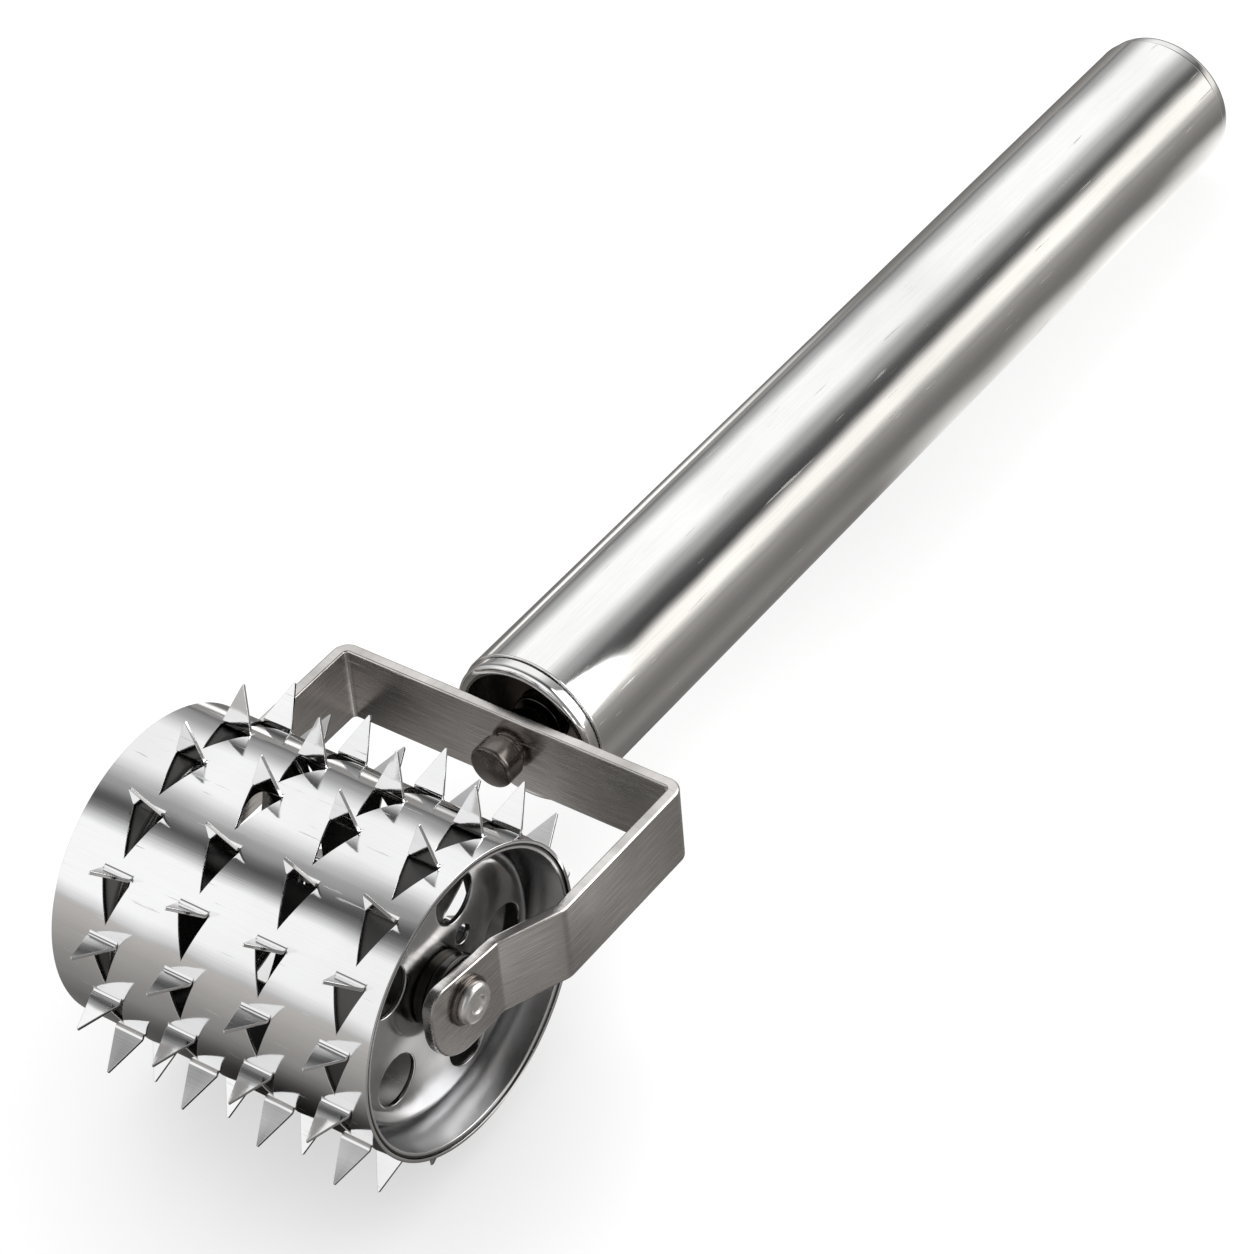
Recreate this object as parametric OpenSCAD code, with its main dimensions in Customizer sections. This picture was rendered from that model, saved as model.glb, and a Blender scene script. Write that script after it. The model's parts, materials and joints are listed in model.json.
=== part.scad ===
// Rolling meat tenderizer: a toothed sheet steel drum that turns on an axle in a bent strip yoke,
// screwed to a straight tube handle. It lies as it is put down on a table: the drum stands on
// two rows of teeth and the rear end of the handle touches the table.
// X runs along the drum's axle, +Y from the drum to the handle's rear end, +Z up.
// The origin is on the table, under the middle of the whole tool.

/* [Drum] */
// Outside diameter of the drum's shell
drum_d = 56; // [48:1:70]
// Length of the drum's shell
drum_len = 65; // [55:1:90]
// Thickness of the shell's sheet, and so of the teeth
sheet_t = 0.9; // [0.6:0.1:1.2]

/* [Teeth] */
// Rows of teeth round the drum
tooth_rows = 15; // [11:1:17]
// Teeth in one row
teeth_per_row = 4; // [3:1:5]
// Plain band between the left end of the drum and the first tooth of a row
left_band = 8; // [5:0.5:10]
// Plain band between the last tooth of a row and the right end of the drum
right_band = 3.5; // [2:0.5:6]
// Width of a tooth at its fold
tooth_base = 6; // [4:0.5:8]
// Height of a tooth's point above the drum
tooth_h = 8; // [5:0.5:9]
// Inside radius of the fold
fold_r = 0.8; // [0.5:0.1:1.2]

/* [End discs] */
// Thickness of a disc's sheet
disc_t = 1; // [0.6:0.1:1.4]
// Depth of a disc's flat face below the drum's end
face_depth = 6; // [5:0.25:8]
// Depth of the edge of a disc's flange below the drum's end
flange_depth = 7.5; // [7:0.25:8.5]
// Outside radius of the rounded shoulder round the flat face
shoulder_r = 3.5; // [2.5:0.25:4]
// Width of the groove between the shoulder and the flange
groove_w = 0.8; // [0.6:0.1:1.4]
// Depth of the straight side of that groove below the shoulder
groove_drop = 1; // [0.5:0.25:2]
// Number of round windows in a disc
disc_holes = 5; // [4:1:5]
// Diameter of a round window
disc_hole_d = 9.5; // [7:0.5:9.5]
// Radius of the circle that the windows lie on
disc_hole_circle = 16.5; // [16:0.25:16.75]
// Diameter of the small hole near the hub
pip_hole_d = 3.6; // [2:0.2:4]
// Distance of the small hole from the axle
pip_hole_circle = 9.5; // [9:0.25:10]

/* [Hub] */
// Diameter of the axle
axle_d = 6; // [5:0.5:6.5]
// Outside diameter of a bush where it sits in its disc
bush_d = 10; // [9:0.5:11]
// Length of a bush inside the drum
bush_len = 10; // [7:0.5:14]
// Diameter of a bush's flange
bush_flange_d = 13; // [12:0.5:14]
// Thickness of a bush's flange
bush_flange_t = 0.8; // [0.6:0.1:1.5]
// Depth of the collar that a disc turns in round its bush
collar_depth = 4; // [2:0.5:5]
// Wall of the tube between the two collars
core_wall = 1; // [0.8:0.1:2]
// Diameter of the dark spacer between a bush and the yoke
spacer_d = 14; // [11:0.5:16]

/* [Yoke] */
// Width of the strip
strip_w = 15.6; // [13:0.2:18]
// Thickness of the strip
strip_t = 2.2; // [1.5:0.1:2.5]
// Height of the axle above the middle line of the strip
axle_rise = 2.8; // [0:0.2:3]
// Gap between the end of the drum and the inner face of an arm
arm_gap = 1.8; // [1.2:0.1:4]
// Depth of an arm's hub end below the drum's end, from outer face to rim
hub_inset = 1; // [0.5:0.1:1.2]
// Gap between the points of the teeth and the yoke's cross piece
web_gap = 18; // [14:0.5:30]
// Inside radius of the two corners of the yoke
corner_r = 0.8; // [0.5:0.1:5]
// Inside radius of the two bends of an arm's joggle
joggle_r = 2; // [1:0.25:3]
// Reach of the rounded hub end past the axle
hub_reach = 9; // [8.5:0.25:11]

/* [Axle heads] */
// Diameter of an axle head
head_d = 7.6; // [7.2:0.2:10]
// Thickness of an axle head
head_t = 1.6; // [1.2:0.1:2]
// Diameter of the dimple in an axle head
dimple_d = 3.6; // [2:0.2:4]
// Depth of the dimple
dimple_depth = 0.5; // [0.2:0.1:0.8]
// Diameter of the dark washer under an axle head
axle_washer_d = 9; // [8:0.2:12]
// Thickness of the dark washer under an axle head
axle_washer_t = 0.8; // [0.5:0.1:1.5]

/* [Fixing screw] */
// Diameter of the screw's shank
screw_d = 5; // [4:0.5:6]
// Diameter of the screw's head
screw_head_d = 8.6; // [8:0.2:11]
// Length of the screw's head with its domed end
screw_head_len = 4.6; // [3.5:0.1:6]
// Height of the domed end of the screw's head
screw_dome = 0.7; // [0.3:0.1:1]
// Diameter of the collar under the screw's head
screw_collar_d = 7; // [6.5:0.1:8]
// Thickness of the collar under the screw's head
screw_collar_t = 1.2; // [0.6:0.1:2]
// Thickness of the spring washer
spring_washer_t = 1.2; // [0.8:0.1:1.6]
// Width of the slit in the spring washer
spring_washer_slit = 0.7; // [0.4:0.1:1.2]
// Width of the nut across its flats
nut_w = 8; // [8:0.5:10]
// Thickness of the nut
nut_t = 4; // [3:0.5:5]

/* [Handle] */
// Outside diameter of the handle's tube
handle_d = 30; // [26:1:36]
// Length of the handle's tube
handle_len = 216.5; // [150:0.5:260]
// Wall of the handle's tube
handle_wall = 1.2; // [0.8:0.1:2]
// Gap between the yoke's cross piece and the front of the handle
handle_gap = 2.5; // [1.5:0.1:5]
// Length of the front ring that shows ahead of the tube
ring_len = 2.8; // [2:0.1:4]
// How much smaller in radius the front ring and the rear cap are than the tube
lip_drop = 0.4; // [0.2:0.1:0.8]
// Wall of the front ring's and the rear cap's skirts
skirt_wall = 1.3; // [0.8:0.1:1.8]
// Length of a skirt inside the tube
skirt_len = 14; // [10:1:20]
// Depth of the floor of the front ring below its front edge
recess_depth = 6.3; // [6:0.1:9]
// Thickness of that floor
floor_t = 1.5; // [1:0.1:3]
// Length of the rim of the rear cap behind the tube
cap_len = 2.8; // [2:0.1:4]
// Height of the dome of the rear cap
cap_dome = 1; // [0.5:0.1:2]

/* [Threaded insert] */
// Diameter of the insert's nose
insert_d = 10; // [9:0.5:12]
// How far the nose stands in front of the floor
insert_nose = 2.4; // [1:0.1:2.4]
// Diameter of the insert's flange behind the floor
insert_flange_d = 18; // [14:1:20]
// Thickness of the insert's flange
insert_flange_t = 2; // [1.5:0.5:3]
// Diameter of the insert's body
insert_body_d = 12; // [10:0.5:13]
// Length of the insert's body
insert_body_len = 14; // [10:1:20]

/* [Hidden] */
$fn = 96;
// Overrun of every cut past the face it starts from
over = 1;
// Radial gap between a turning bush and the axle
run_gap = 0.05;
// Radial gap between two pieces that are pressed or slid together and don't turn
seat_gap = 0.05;
// End play between a bush's flange and its spacer
end_play = 0.3;
// Width of the sheared slit on either side of a tooth
shear_gap = 0.12;
// How far the fold's hollow is sunk below tangency, so that it meets the shell cleanly
fold_sink = 0.02;
// Length of the root that ties a tooth into the shell
root_len = 1;
// Thickness of sheet left above and below that root
root_skin = 0.15;
// Rounding of the rims of the front ring and the rear cap
lip_round = 1.2;
// Rounding of an axle head's edge
head_round = 1;
// Radius of the bush's small end chamfer
bush_chamfer = 0.5;
// Start and end of an arm's joggle, in shares of the drum's radius
joggle_start_share = 0.75;
joggle_end_share = 0.32;
// Turn of the first row of teeth past the top of the drum as the tool lies, in rows of teeth
first_row_turn_share = -0.17;
// Turn of the round windows from the top of the drum, in rows of teeth, and of the small hole
disc_hole_turn_share = 1;
pip_hole_turn_share = 2;

drum_r = drum_d / 2;
shell_in_r = drum_r - sheet_t;
half_len = drum_len / 2;
row_step = 360 / tooth_rows;
first_row_turn = first_row_turn_share * row_step;
tip_r = drum_r + tooth_h;
tooth_pitch = (drum_len - left_band - right_band - tooth_base) / (teeth_per_row - 1);
first_tooth_x = -half_len + left_band + tooth_base / 2;

// Fold of a tooth, drawn for a tooth at the top of the drum: the centre of its hollow
fold_y = fold_r + sheet_t / 2;
fold_z = sqrt(pow(drum_r + fold_r - fold_sink, 2) - pow(fold_y, 2));
window_len = drum_r * sin((tooth_h + fold_r) / drum_r * 180 / PI);

// Discs
flange_out_r = shell_in_r - seat_gap;
flange_in_r = flange_out_r - disc_t;
wall_out_r = flange_in_r - groove_w;
shoulder_x = wall_out_r - shoulder_r;
groove_c = shoulder_r + groove_drop;
collar_in_r = bush_d / 2 + seat_gap;
disc_face_x = half_len - face_depth;

// Stations along the axle, from the drum's middle to its right end
hub_out_x = half_len - hub_inset;
hub_in_x = hub_out_x - strip_t;
bush_face_x = disc_face_x + bush_flange_t;
head_x = hub_out_x + axle_washer_t;
core_half = disc_face_x - collar_depth;
axle_r = axle_d / 2;

// Yoke: outer faces of the arms and of the cross piece
arm_out_x = half_len + arm_gap + strip_t;
web_in_y = tip_r + web_gap;
web_out_y = web_in_y + strip_t;
joggle_start = drum_r * joggle_start_share;
joggle_end = drum_r * joggle_end_share;

// Handle
handle_r = handle_d / 2;
bore_r = handle_r - handle_wall;
ring_y = web_out_y + handle_gap;
tube_y = ring_y + ring_len;
tube_end_y = tube_y + handle_len;
lip_r = handle_r - lip_drop;
skirt_r = bore_r - seat_gap;
skirt_in_r = skirt_r - skirt_wall;
floor_y = ring_y + recess_depth;
insert_flange_y = floor_y + floor_t;
insert_end_y = insert_flange_y + insert_flange_t + insert_body_len;
nut_y = web_out_y + spring_washer_t;
dome_base_r = lip_r - lip_round;
dome_r = (pow(dome_base_r, 2) + pow(cap_dome, 2)) / (2 * cap_dome);
dome_c = tube_end_y + cap_len + cap_dome - dome_r;

// Turn between a direction, counted from the top towards the front, and the row nearest to it
function nearest_row(way) =
    way - first_row_turn - row_step * round((way - first_row_turn) / row_step);

// How the tool lies on the table: the lowest and foremost teeth and the tilt of the handle
low_turn = abs(nearest_row(180));
front_turn = abs(nearest_row(90));
axle_z = tip_r * cos(low_turn) + sheet_t / 2 * sin(low_turn);
heel_y = tube_end_y;
heel_z = axle_rise + handle_r;
tilt = asin(axle_z / norm([heel_y, heel_z])) - atan2(heel_z, heel_y);
front_y = -(tip_r * cos(front_turn) + sheet_t / 2 * sin(front_turn));
rear_y = dome_c * cos(tilt) - axle_rise * sin(tilt) + dome_r;
axle_y = -(front_y + rear_y) / 2;

STEEL = "#c9cacb";
DRUM_STEEL = "#d8d9da";
DISC_STEEL = "#b4b3b2";
YOKE_STEEL = "#a5a29f";
DARK_STEEL = "#4c4846";
BRONZE = "#b08850";

// Puts a piece of the drum, drawn round the X axis, at its place above the table
module on_drum() {
    translate([0, axle_y, axle_z]) children();
}

// Puts a piece of the yoke or the handle at its place, tilted as the tool lies
module on_yoke() {
    on_drum() rotate([-tilt, 0, 0]) children();
}

// Turns a piece drawn round Z so that it lies round X, with Z towards +X, starting at x
module round_x(x) {
    translate([x, 0, 0]) rotate([0, 90, 0]) children();
}

// Turns a piece drawn round Z so that it lies round the handle's middle line, starting at y
module round_handle(y) {
    translate([0, y, -axle_rise]) rotate([-90, 0, 0]) children();
}

// A plain ring round Z
module ring(r_out, r_in, len) {
    difference() {
        cylinder(r = r_out, h = len);
        translate([0, 0, -over]) cylinder(r = r_in, h = len + 2 * over);
    }
}

// Part of a flat ring between two radii, from one angle to another less than half a turn on
module arc_band(r_out, r_in, from, to) {
    reach = r_out * 2;
    mid = (from + to) / 2;
    intersection() {
        difference() {
            circle(r = r_out);
            circle(r = r_in);
        }
        polygon([[0, 0], reach * [cos(from), sin(from)], reach * [cos(mid), sin(mid)],
            reach * [cos(to), sin(to)]]);
    }
}

// Opening that a tooth leaves in the shell, seen from outside: the fold's strip and the point
module window_outline() {
    half = tooth_base / 2;
    polygon([[-half, fold_y], [half, fold_y], [half, -sheet_t / 2], [0, -window_len],
        [-half, -sheet_t / 2]]);
}

// Side view of a tooth: root in the shell, quarter round fold, and the leaf that stands up
module tooth_side() {
    translate([fold_y, fold_z]) arc_band(fold_r + sheet_t, fold_r, 180, 270, $fn = 12);
    translate([fold_y - over / 10, fold_z - fold_r - sheet_t + root_skin])
        square([root_len, sheet_t - 2 * root_skin]);
    translate([-sheet_t / 2, fold_z]) square([sheet_t, tip_r - fold_z]);
}

// Front view of a tooth: straight over the fold, then tapering to the point
module tooth_front() {
    half = tooth_base / 2 - shear_gap;
    polygon([[-half, shell_in_r - over], [half, shell_in_r - over], [half, fold_z], [0, tip_r],
        [-half, fold_z]]);
}

// One tooth at the top of the drum
module tooth() {
    intersection() {
        translate([-tooth_base / 2, 0, 0]) rotate([90, 0, 90])
            linear_extrude(tooth_base) tooth_side();
        translate([0, fold_y + root_len, 0]) rotate([90, 0, 0])
            linear_extrude(fold_y + root_len + sheet_t) tooth_front();
    }
}

// Repeats what is drawn at the top of the drum at every tooth of every row
module each_tooth() {
    for (row = [0 : tooth_rows - 1], i = [0 : teeth_per_row - 1])
        rotate([first_row_turn + row * row_step, 0, 0])
            translate([first_tooth_x + i * tooth_pitch, 0, 0])
                children();
}

// Shell of the drum with its teeth, which are cut and folded out of the same sheet
module drum_shell() {
    color(DRUM_STEEL) on_drum() {
        difference() {
            round_x(-half_len) ring(drum_r, shell_in_r, drum_len);
            each_tooth() translate([0, 0, shell_in_r - over])
                linear_extrude(sheet_t + 2 * over) window_outline();
        }
        each_tooth() tooth();
    }
}

// Section of an end disc from its axis outwards, with the depth below its flat face upwards
module disc_section() {
    translate([collar_in_r, 0]) square([shoulder_x - collar_in_r, disc_t]);
    translate([collar_in_r, 0]) square([disc_t, collar_depth]);
    translate([shoulder_x, shoulder_r]) arc_band(shoulder_r, shoulder_r - disc_t, 270, 360);
    translate([wall_out_r - disc_t, shoulder_r]) square([disc_t, groove_drop]);
    translate([wall_out_r + groove_w / 2, groove_c]) {
        arc_band(groove_w / 2 + disc_t, groove_w / 2, 0, 90);
        arc_band(groove_w / 2 + disc_t, groove_w / 2, 90, 180);
    }
    translate([flange_in_r, flange_depth - face_depth])
        square([disc_t, groove_c - (flange_depth - face_depth)]);
}

// Pressed end disc, drawn round Z with its flat outer face at zero and its inside upwards
module end_disc() {
    difference() {
        rotate_extrude() disc_section();
        for (i = [0 : disc_holes - 1])
            rotate(i * 360 / disc_holes) translate([disc_hole_circle, 0, -over])
                cylinder(d = disc_hole_d, h = disc_t + 2 * over);
        rotate((pip_hole_turn_share - disc_hole_turn_share) * row_step)
            translate([pip_hole_circle, 0, -over])
                cylinder(d = pip_hole_d, h = disc_t + 2 * over);
    }
}

module end_disc_right() {
    color(DISC_STEEL) on_drum() translate([disc_face_x, 0, 0])
        rotate([-disc_hole_turn_share * row_step, 0, 0]) rotate([0, -90, 0]) end_disc();
}

module end_disc_left() {
    color(DISC_STEEL) on_drum() mirror([1, 0, 0]) translate([disc_face_x, 0, 0])
        rotate([-disc_hole_turn_share * row_step, 0, 0]) rotate([0, -90, 0]) end_disc();
}

// Flanged bush at the right end, its flange on the outside of the disc
module bush() {
    round_x(disc_face_x - bush_len) difference() {
        union() {
            cylinder(r = bush_d / 2 - bush_chamfer, h = bush_len);
            translate([0, 0, bush_chamfer])
                cylinder(d = bush_d, h = bush_len - bush_chamfer);
            translate([0, 0, bush_len]) cylinder(d = bush_flange_d, h = bush_flange_t);
        }
        translate([0, 0, -over])
            cylinder(r = axle_r + run_gap, h = bush_len + bush_flange_t + 2 * over);
    }
}

module bush_right() {
    color(BRONZE) on_drum() bush();
}

module bush_left() {
    color(BRONZE) on_drum() mirror([1, 0, 0]) bush();
}

// Tube inside the drum that keeps the two discs apart
module core_tube() {
    color(STEEL) on_drum()
        round_x(-core_half) ring(collar_in_r + core_wall, collar_in_r, 2 * core_half);
}

// Dark spacer on the axle between the right arm and the right bush
module spacer() {
    round_x(bush_face_x + end_play)
        ring(spacer_d / 2, axle_r + seat_gap, hub_in_x - bush_face_x - end_play);
}

module spacer_right() {
    color(DARK_STEEL) on_yoke() spacer();
}

module spacer_left() {
    color(DARK_STEEL) on_yoke() mirror([1, 0, 0]) spacer();
}

// Flat topped button with a rounded edge and a dimple, drawn upwards from zero
module button_head() {
    difference() {
        rotate_extrude() {
            square([head_d / 2 - head_round, head_t]);
            square([head_d / 2, head_t - head_round]);
            translate([head_d / 2 - head_round, head_t - head_round])
                intersection() {
                    circle(r = head_round);
                    square(head_round);
                }
        }
        translate([0, 0, head_t - dimple_depth]) cylinder(d1 = dimple_d - 2 * dimple_depth,
            d2 = dimple_d + 2 * dimple_depth, h = 2 * dimple_depth);
    }
}

// Axle with its right head in one piece; its left end goes into the cap
module axle() {
    color(STEEL) on_yoke() {
        round_x(-head_x - head_t / 2) cylinder(r = axle_r, h = 2 * head_x + head_t / 2 + over / 2);
        round_x(head_x) button_head();
    }
}

// Cap pressed on the left end of the axle
module axle_cap() {
    color(STEEL) on_yoke() mirror([1, 0, 0]) round_x(head_x) difference() {
        button_head();
        translate([0, 0, -over]) cylinder(r = axle_r + seat_gap, h = head_t / 2 + over);
    }
}

module axle_washers() {
    color(DARK_STEEL) on_yoke() for (side = [0, 1])
        mirror([side, 0, 0])
            round_x(hub_out_x) ring(axle_washer_d / 2, axle_r + seat_gap, axle_washer_t);
}

// Direction of the run from one point to the next
function along(from, to) = (to - from) / norm(to - from);

// Direction to the right of a run
function right_of(run) = [run.y, -run.x];

// The corner of a path at its point i, moved by a distance to the path's right
function mitre(path, i, move) =
    let (a = right_of(along(path[i - 1], path[i])), b = right_of(along(path[i], path[i + 1])))
    path[i] + move * (a + b) / (1 + a * b);

// A kite round a bend's centre whose outer two sides touch a circle of radius reach, less a
// smaller circle: it fills a sharp corner of the strip to a round, or cuts one off. A bend is
// its place in the path, 1 if it turns right or -1 if it turns left, and its inside radius.
module bend_kite(path, bend, reach, r) {
    i = bend[0];
    side = bend[1];
    centre = mitre(path, i, side > 0 ? strip_t + bend[2] : -bend[2]);
    a = -side * right_of(along(path[i - 1], path[i]));
    b = -side * right_of(along(path[i], path[i + 1]));
    feet = side > 0 ? [a, b] : [b, a];
    difference() {
        polygon([centre, centre + reach * feet[0], centre + reach * (a + b) / (1 + a * b),
            centre + reach * feet[1]]);
        translate(centre) circle(r = r);
    }
}

// Right half of the strip from above: half the cross piece, the corner, the arm, the joggle
// and the hub end, drawn between its outer face and the same path one thickness further in
module strip_half() {
    path = [[-over, web_out_y], [arm_out_x, web_out_y], [arm_out_x, joggle_start],
        [hub_out_x, joggle_end], [hub_out_x, -hub_reach]];
    bends = [[1, 1, corner_r], [2, 1, joggle_r], [3, -1, joggle_r]];
    difference() {
        union() {
            polygon(concat(path, [[hub_in_x, -hub_reach]],
                [for (i = [3 : -1 : 1]) mitre(path, i, strip_t)], [[-over, web_in_y]]));
            for (bend = bends) bend_kite(path, bend, bend[2] + strip_t / 2, bend[2]);
        }
        for (bend = bends)
            bend_kite(path, bend, bend[2] + strip_t + over, bend[2] + strip_t);
    }
}

// Bent strip that carries the axle at its two ends and the handle at its middle
module yoke() {
    round_y = strip_w / 2 - hub_reach;
    color(YOKE_STEEL) on_yoke() difference() {
        translate([0, 0, -axle_rise - strip_w / 2]) linear_extrude(strip_w) {
            strip_half();
            mirror([1, 0]) strip_half();
        }
        translate([-arm_out_x - over, round_y, -axle_rise]) rotate([90, 0, 90])
            linear_extrude(2 * (arm_out_x + over)) difference() {
                translate([-strip_w, -strip_w]) square([strip_w, 2 * strip_w]);
                circle(d = strip_w);
            }
        round_x(-arm_out_x - over) cylinder(r = axle_r + seat_gap, h = 2 * (arm_out_x + over));
        round_handle(web_in_y - over) cylinder(r = screw_d / 2 + seat_gap, h = strip_t + 2 * over);
    }
}

// Screw through the yoke's cross piece into the handle, its domed head on the drum's side
module fixing_screw() {
    head_y = web_in_y - screw_collar_t;
    head_r = screw_head_d / 2;
    ball_r = (pow(head_r, 2) + pow(screw_dome, 2)) / (2 * screw_dome);
    color(DARK_STEEL) on_yoke() {
        round_handle(head_y - over) cylinder(d = screw_d, h = insert_end_y - head_y);
        round_handle(head_y) mirror([0, 0, 1]) intersection() {
            cylinder(r = head_r, h = screw_head_len);
            translate([0, 0, screw_head_len - ball_r]) sphere(r = ball_r);
        }
    }
}

module screw_collar() {
    color(DARK_STEEL) on_yoke() round_handle(web_in_y - screw_collar_t)
        ring(screw_collar_d / 2, screw_d / 2 + seat_gap, screw_collar_t);
}

module spring_washer() {
    color(DARK_STEEL) on_yoke() round_handle(web_out_y) difference() {
        ring(nut_w / 2, screw_d / 2 + seat_gap, spring_washer_t);
        translate([-spring_washer_slit / 2, 0, -over])
            cube([spring_washer_slit, nut_w, spring_washer_t + 2 * over]);
    }
}

module fixing_nut() {
    color(DARK_STEEL) on_yoke() round_handle(nut_y) difference() {
        cylinder(r = nut_w / 2 / cos(30), h = nut_t, $fn = 6);
        translate([0, 0, -over]) cylinder(r = screw_d / 2 + seat_gap, h = nut_t + 2 * over);
    }
}

// Ring that closes the front of the tube: a rounded lip, a skirt in the tube and a sunk floor
module handle_ring() {
    color(STEEL) on_yoke() round_handle(ring_y) {
        rotate_extrude() {
            translate([skirt_in_r, lip_round]) square([lip_r - skirt_in_r, ring_len - lip_round]);
            translate([skirt_in_r, 0]) square([lip_r - lip_round - skirt_in_r, lip_round]);
            translate([lip_r - lip_round, lip_round]) intersection() {
                circle(r = lip_round);
                translate([0, -lip_round]) square(lip_round);
            }
            translate([skirt_in_r, ring_len]) square([skirt_wall, skirt_len]);
            translate([insert_d / 2 + seat_gap, recess_depth])
                square([skirt_in_r - insert_d / 2 - seat_gap, floor_t]);
        }
    }
}

// Turned insert behind the floor of the ring, which the screw goes into
module threaded_insert() {
    body_len = insert_end_y - floor_y + insert_nose;
    color(DARK_STEEL) on_yoke() round_handle(floor_y - insert_nose) difference() {
        union() {
            cylinder(d = insert_d, h = insert_nose + floor_t + over);
            translate([0, 0, insert_nose + floor_t])
                cylinder(d = insert_flange_d, h = insert_flange_t);
            translate([0, 0, insert_nose + floor_t]) cylinder(d = insert_body_d,
                h = insert_flange_t + insert_body_len);
        }
        translate([0, 0, -over]) cylinder(r = screw_d / 2 + seat_gap, h = body_len + 2 * over);
    }
}

module handle_tube() {
    color(STEEL) on_yoke() round_handle(tube_y) ring(handle_r, bore_r, handle_len);
}

// Cap that closes the rear of the tube: a skirt in the tube, a rounded rim and a low dome
module handle_cap() {
    color(STEEL) on_yoke() round_handle(tube_end_y) {
        translate([0, 0, -skirt_len]) ring(skirt_r, skirt_in_r, skirt_len + over);
        rotate_extrude() {
            square([lip_r - lip_round, cap_len]);
            square([lip_r, cap_len - lip_round]);
            translate([lip_r - lip_round, cap_len - lip_round]) intersection() {
                circle(r = lip_round);
                square(lip_round);
            }
            intersection() {
                translate([0, cap_len + cap_dome - dome_r]) circle(r = dome_r);
                square([dome_base_r, cap_len + cap_dome]);
            }
        }
    }
}

drum_shell();
end_disc_right();
end_disc_left();
bush_right();
bush_left();
core_tube();
spacer_right();
spacer_left();
axle();
axle_washers();
axle_cap();
yoke();
fixing_screw();
screw_collar();
spring_washer();
fixing_nut();
handle_ring();
threaded_insert();
handle_tube();
handle_cap();
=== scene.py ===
# %% [markdown]
# # A rolling meat tenderizer
#
# A drum of polished sheet steel, set all over with triangular teeth, turns on an axle in a bent
# strip yoke. One screw holds the yoke to a straight round tube handle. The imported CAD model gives
# every place and size. This notebook dresses it: each cell makes one piece of sheet, strip or
# turned metal with the rounded edges that catch the light, and gives it its finish.

# %% Load the frame
import json
from math import atan2, cos, hypot, pi, radians, sin, tan

import bmesh
import bpy
from mathutils import Matrix, Vector


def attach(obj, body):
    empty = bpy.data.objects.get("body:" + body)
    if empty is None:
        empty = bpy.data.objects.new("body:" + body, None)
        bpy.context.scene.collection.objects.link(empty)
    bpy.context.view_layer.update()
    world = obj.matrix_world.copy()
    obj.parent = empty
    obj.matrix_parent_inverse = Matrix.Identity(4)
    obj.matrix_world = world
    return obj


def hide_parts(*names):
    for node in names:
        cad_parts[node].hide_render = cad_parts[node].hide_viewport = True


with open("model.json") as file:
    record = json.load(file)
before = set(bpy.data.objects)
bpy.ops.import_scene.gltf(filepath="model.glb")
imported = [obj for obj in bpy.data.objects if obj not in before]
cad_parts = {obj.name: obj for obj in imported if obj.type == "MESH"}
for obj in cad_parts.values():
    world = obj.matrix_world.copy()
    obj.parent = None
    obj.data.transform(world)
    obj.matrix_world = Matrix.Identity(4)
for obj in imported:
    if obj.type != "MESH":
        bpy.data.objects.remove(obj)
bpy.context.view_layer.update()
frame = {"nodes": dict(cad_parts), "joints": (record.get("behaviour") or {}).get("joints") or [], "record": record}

# %% [markdown]
# ## Two places to measure from
#
# The tool lies on a table, so its handle is tilted a little. Pieces of the drum are drawn round
# the axle. Pieces of the yoke and the handle are drawn level, with the axle at zero, X along the
# axle, Y towards the rear of the handle and Z up, and are then tilted into place. The axle's
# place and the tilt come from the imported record, so nothing is fitted by eye.

# %% Axle, tilt and units
MM = 0.001
axle_at = Vector(frame["joints"][0]["pos_m"])
handle_way = Vector(frame["record"]["mounts"][0]["axis"])
tilt = atan2(-handle_way.z, handle_way.y)

ON_DRUM = Matrix.Translation(axle_at) @ Matrix.Scale(MM, 4)
ON_YOKE = Matrix.Translation(axle_at) @ Matrix.Rotation(-tilt, 4, "X") @ Matrix.Scale(MM, 4)
ROUND_X = Matrix.Rotation(radians(90), 4, "Y")
FLIP_X = Matrix.Scale(-1, 4, (1, 0, 0))
print("axle at", tuple(round(c * 1000, 2) for c in axle_at), "tilt", round(tilt * 180 / pi, 2))

# %% [markdown]
# ## Sizes
#
# These are the same sizes, in millimetres, that the CAD model is drawn with. Each is written
# once, here or with its own piece. Three things are drawn closer to the photograph than in the
# CAD model: the sheet, which looks 0.6 mm thin, the yoke's hub ends, whose upper corner is higher
# and tighter than the lower one, and the discs' flanges, which reach nearly to the drum's rim.

# %% Sizes of the drum, the yoke and the handle
DRUM_R, DRUM_LEN, SHEET = 28.0, 65.0, 0.6
ROWS, TEETH, TOOTH_BASE, TOOTH_H, FOLD_R = 15, 4, 6.0, 8.0, 0.8
LEFT_BAND, RIGHT_BAND = 8.0, 3.5
FIRST_ROW_TURN = radians(-0.17 * 360 / ROWS)

STRIP_W, STRIP_T, AXLE_RISE = 15.6, 2.2, 2.8
ARM_OUT, HUB_OUT = 36.5, 31.5
JOGGLE_START, JOGGLE_END = 21.0, 8.96
CORNER_R, JOGGLE_R, HUB_REACH = 0.8, 2.0, 9.0
HUB_RISE, HUB_UPPER_R, HUB_LOWER_R = 2.1, 4.2, 9.5
WEB_IN, WEB_OUT = 54.0, 56.2

HANDLE_R, HANDLE_WALL = 15.0, 1.2
RING_Y, TUBE_Y, TUBE_END = 58.7, 61.5, 278.0
ON_HANDLE = ON_YOKE @ Matrix.Translation((0, 0, -AXLE_RISE)) @ Matrix.Rotation(radians(-90), 4, "X")

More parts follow.
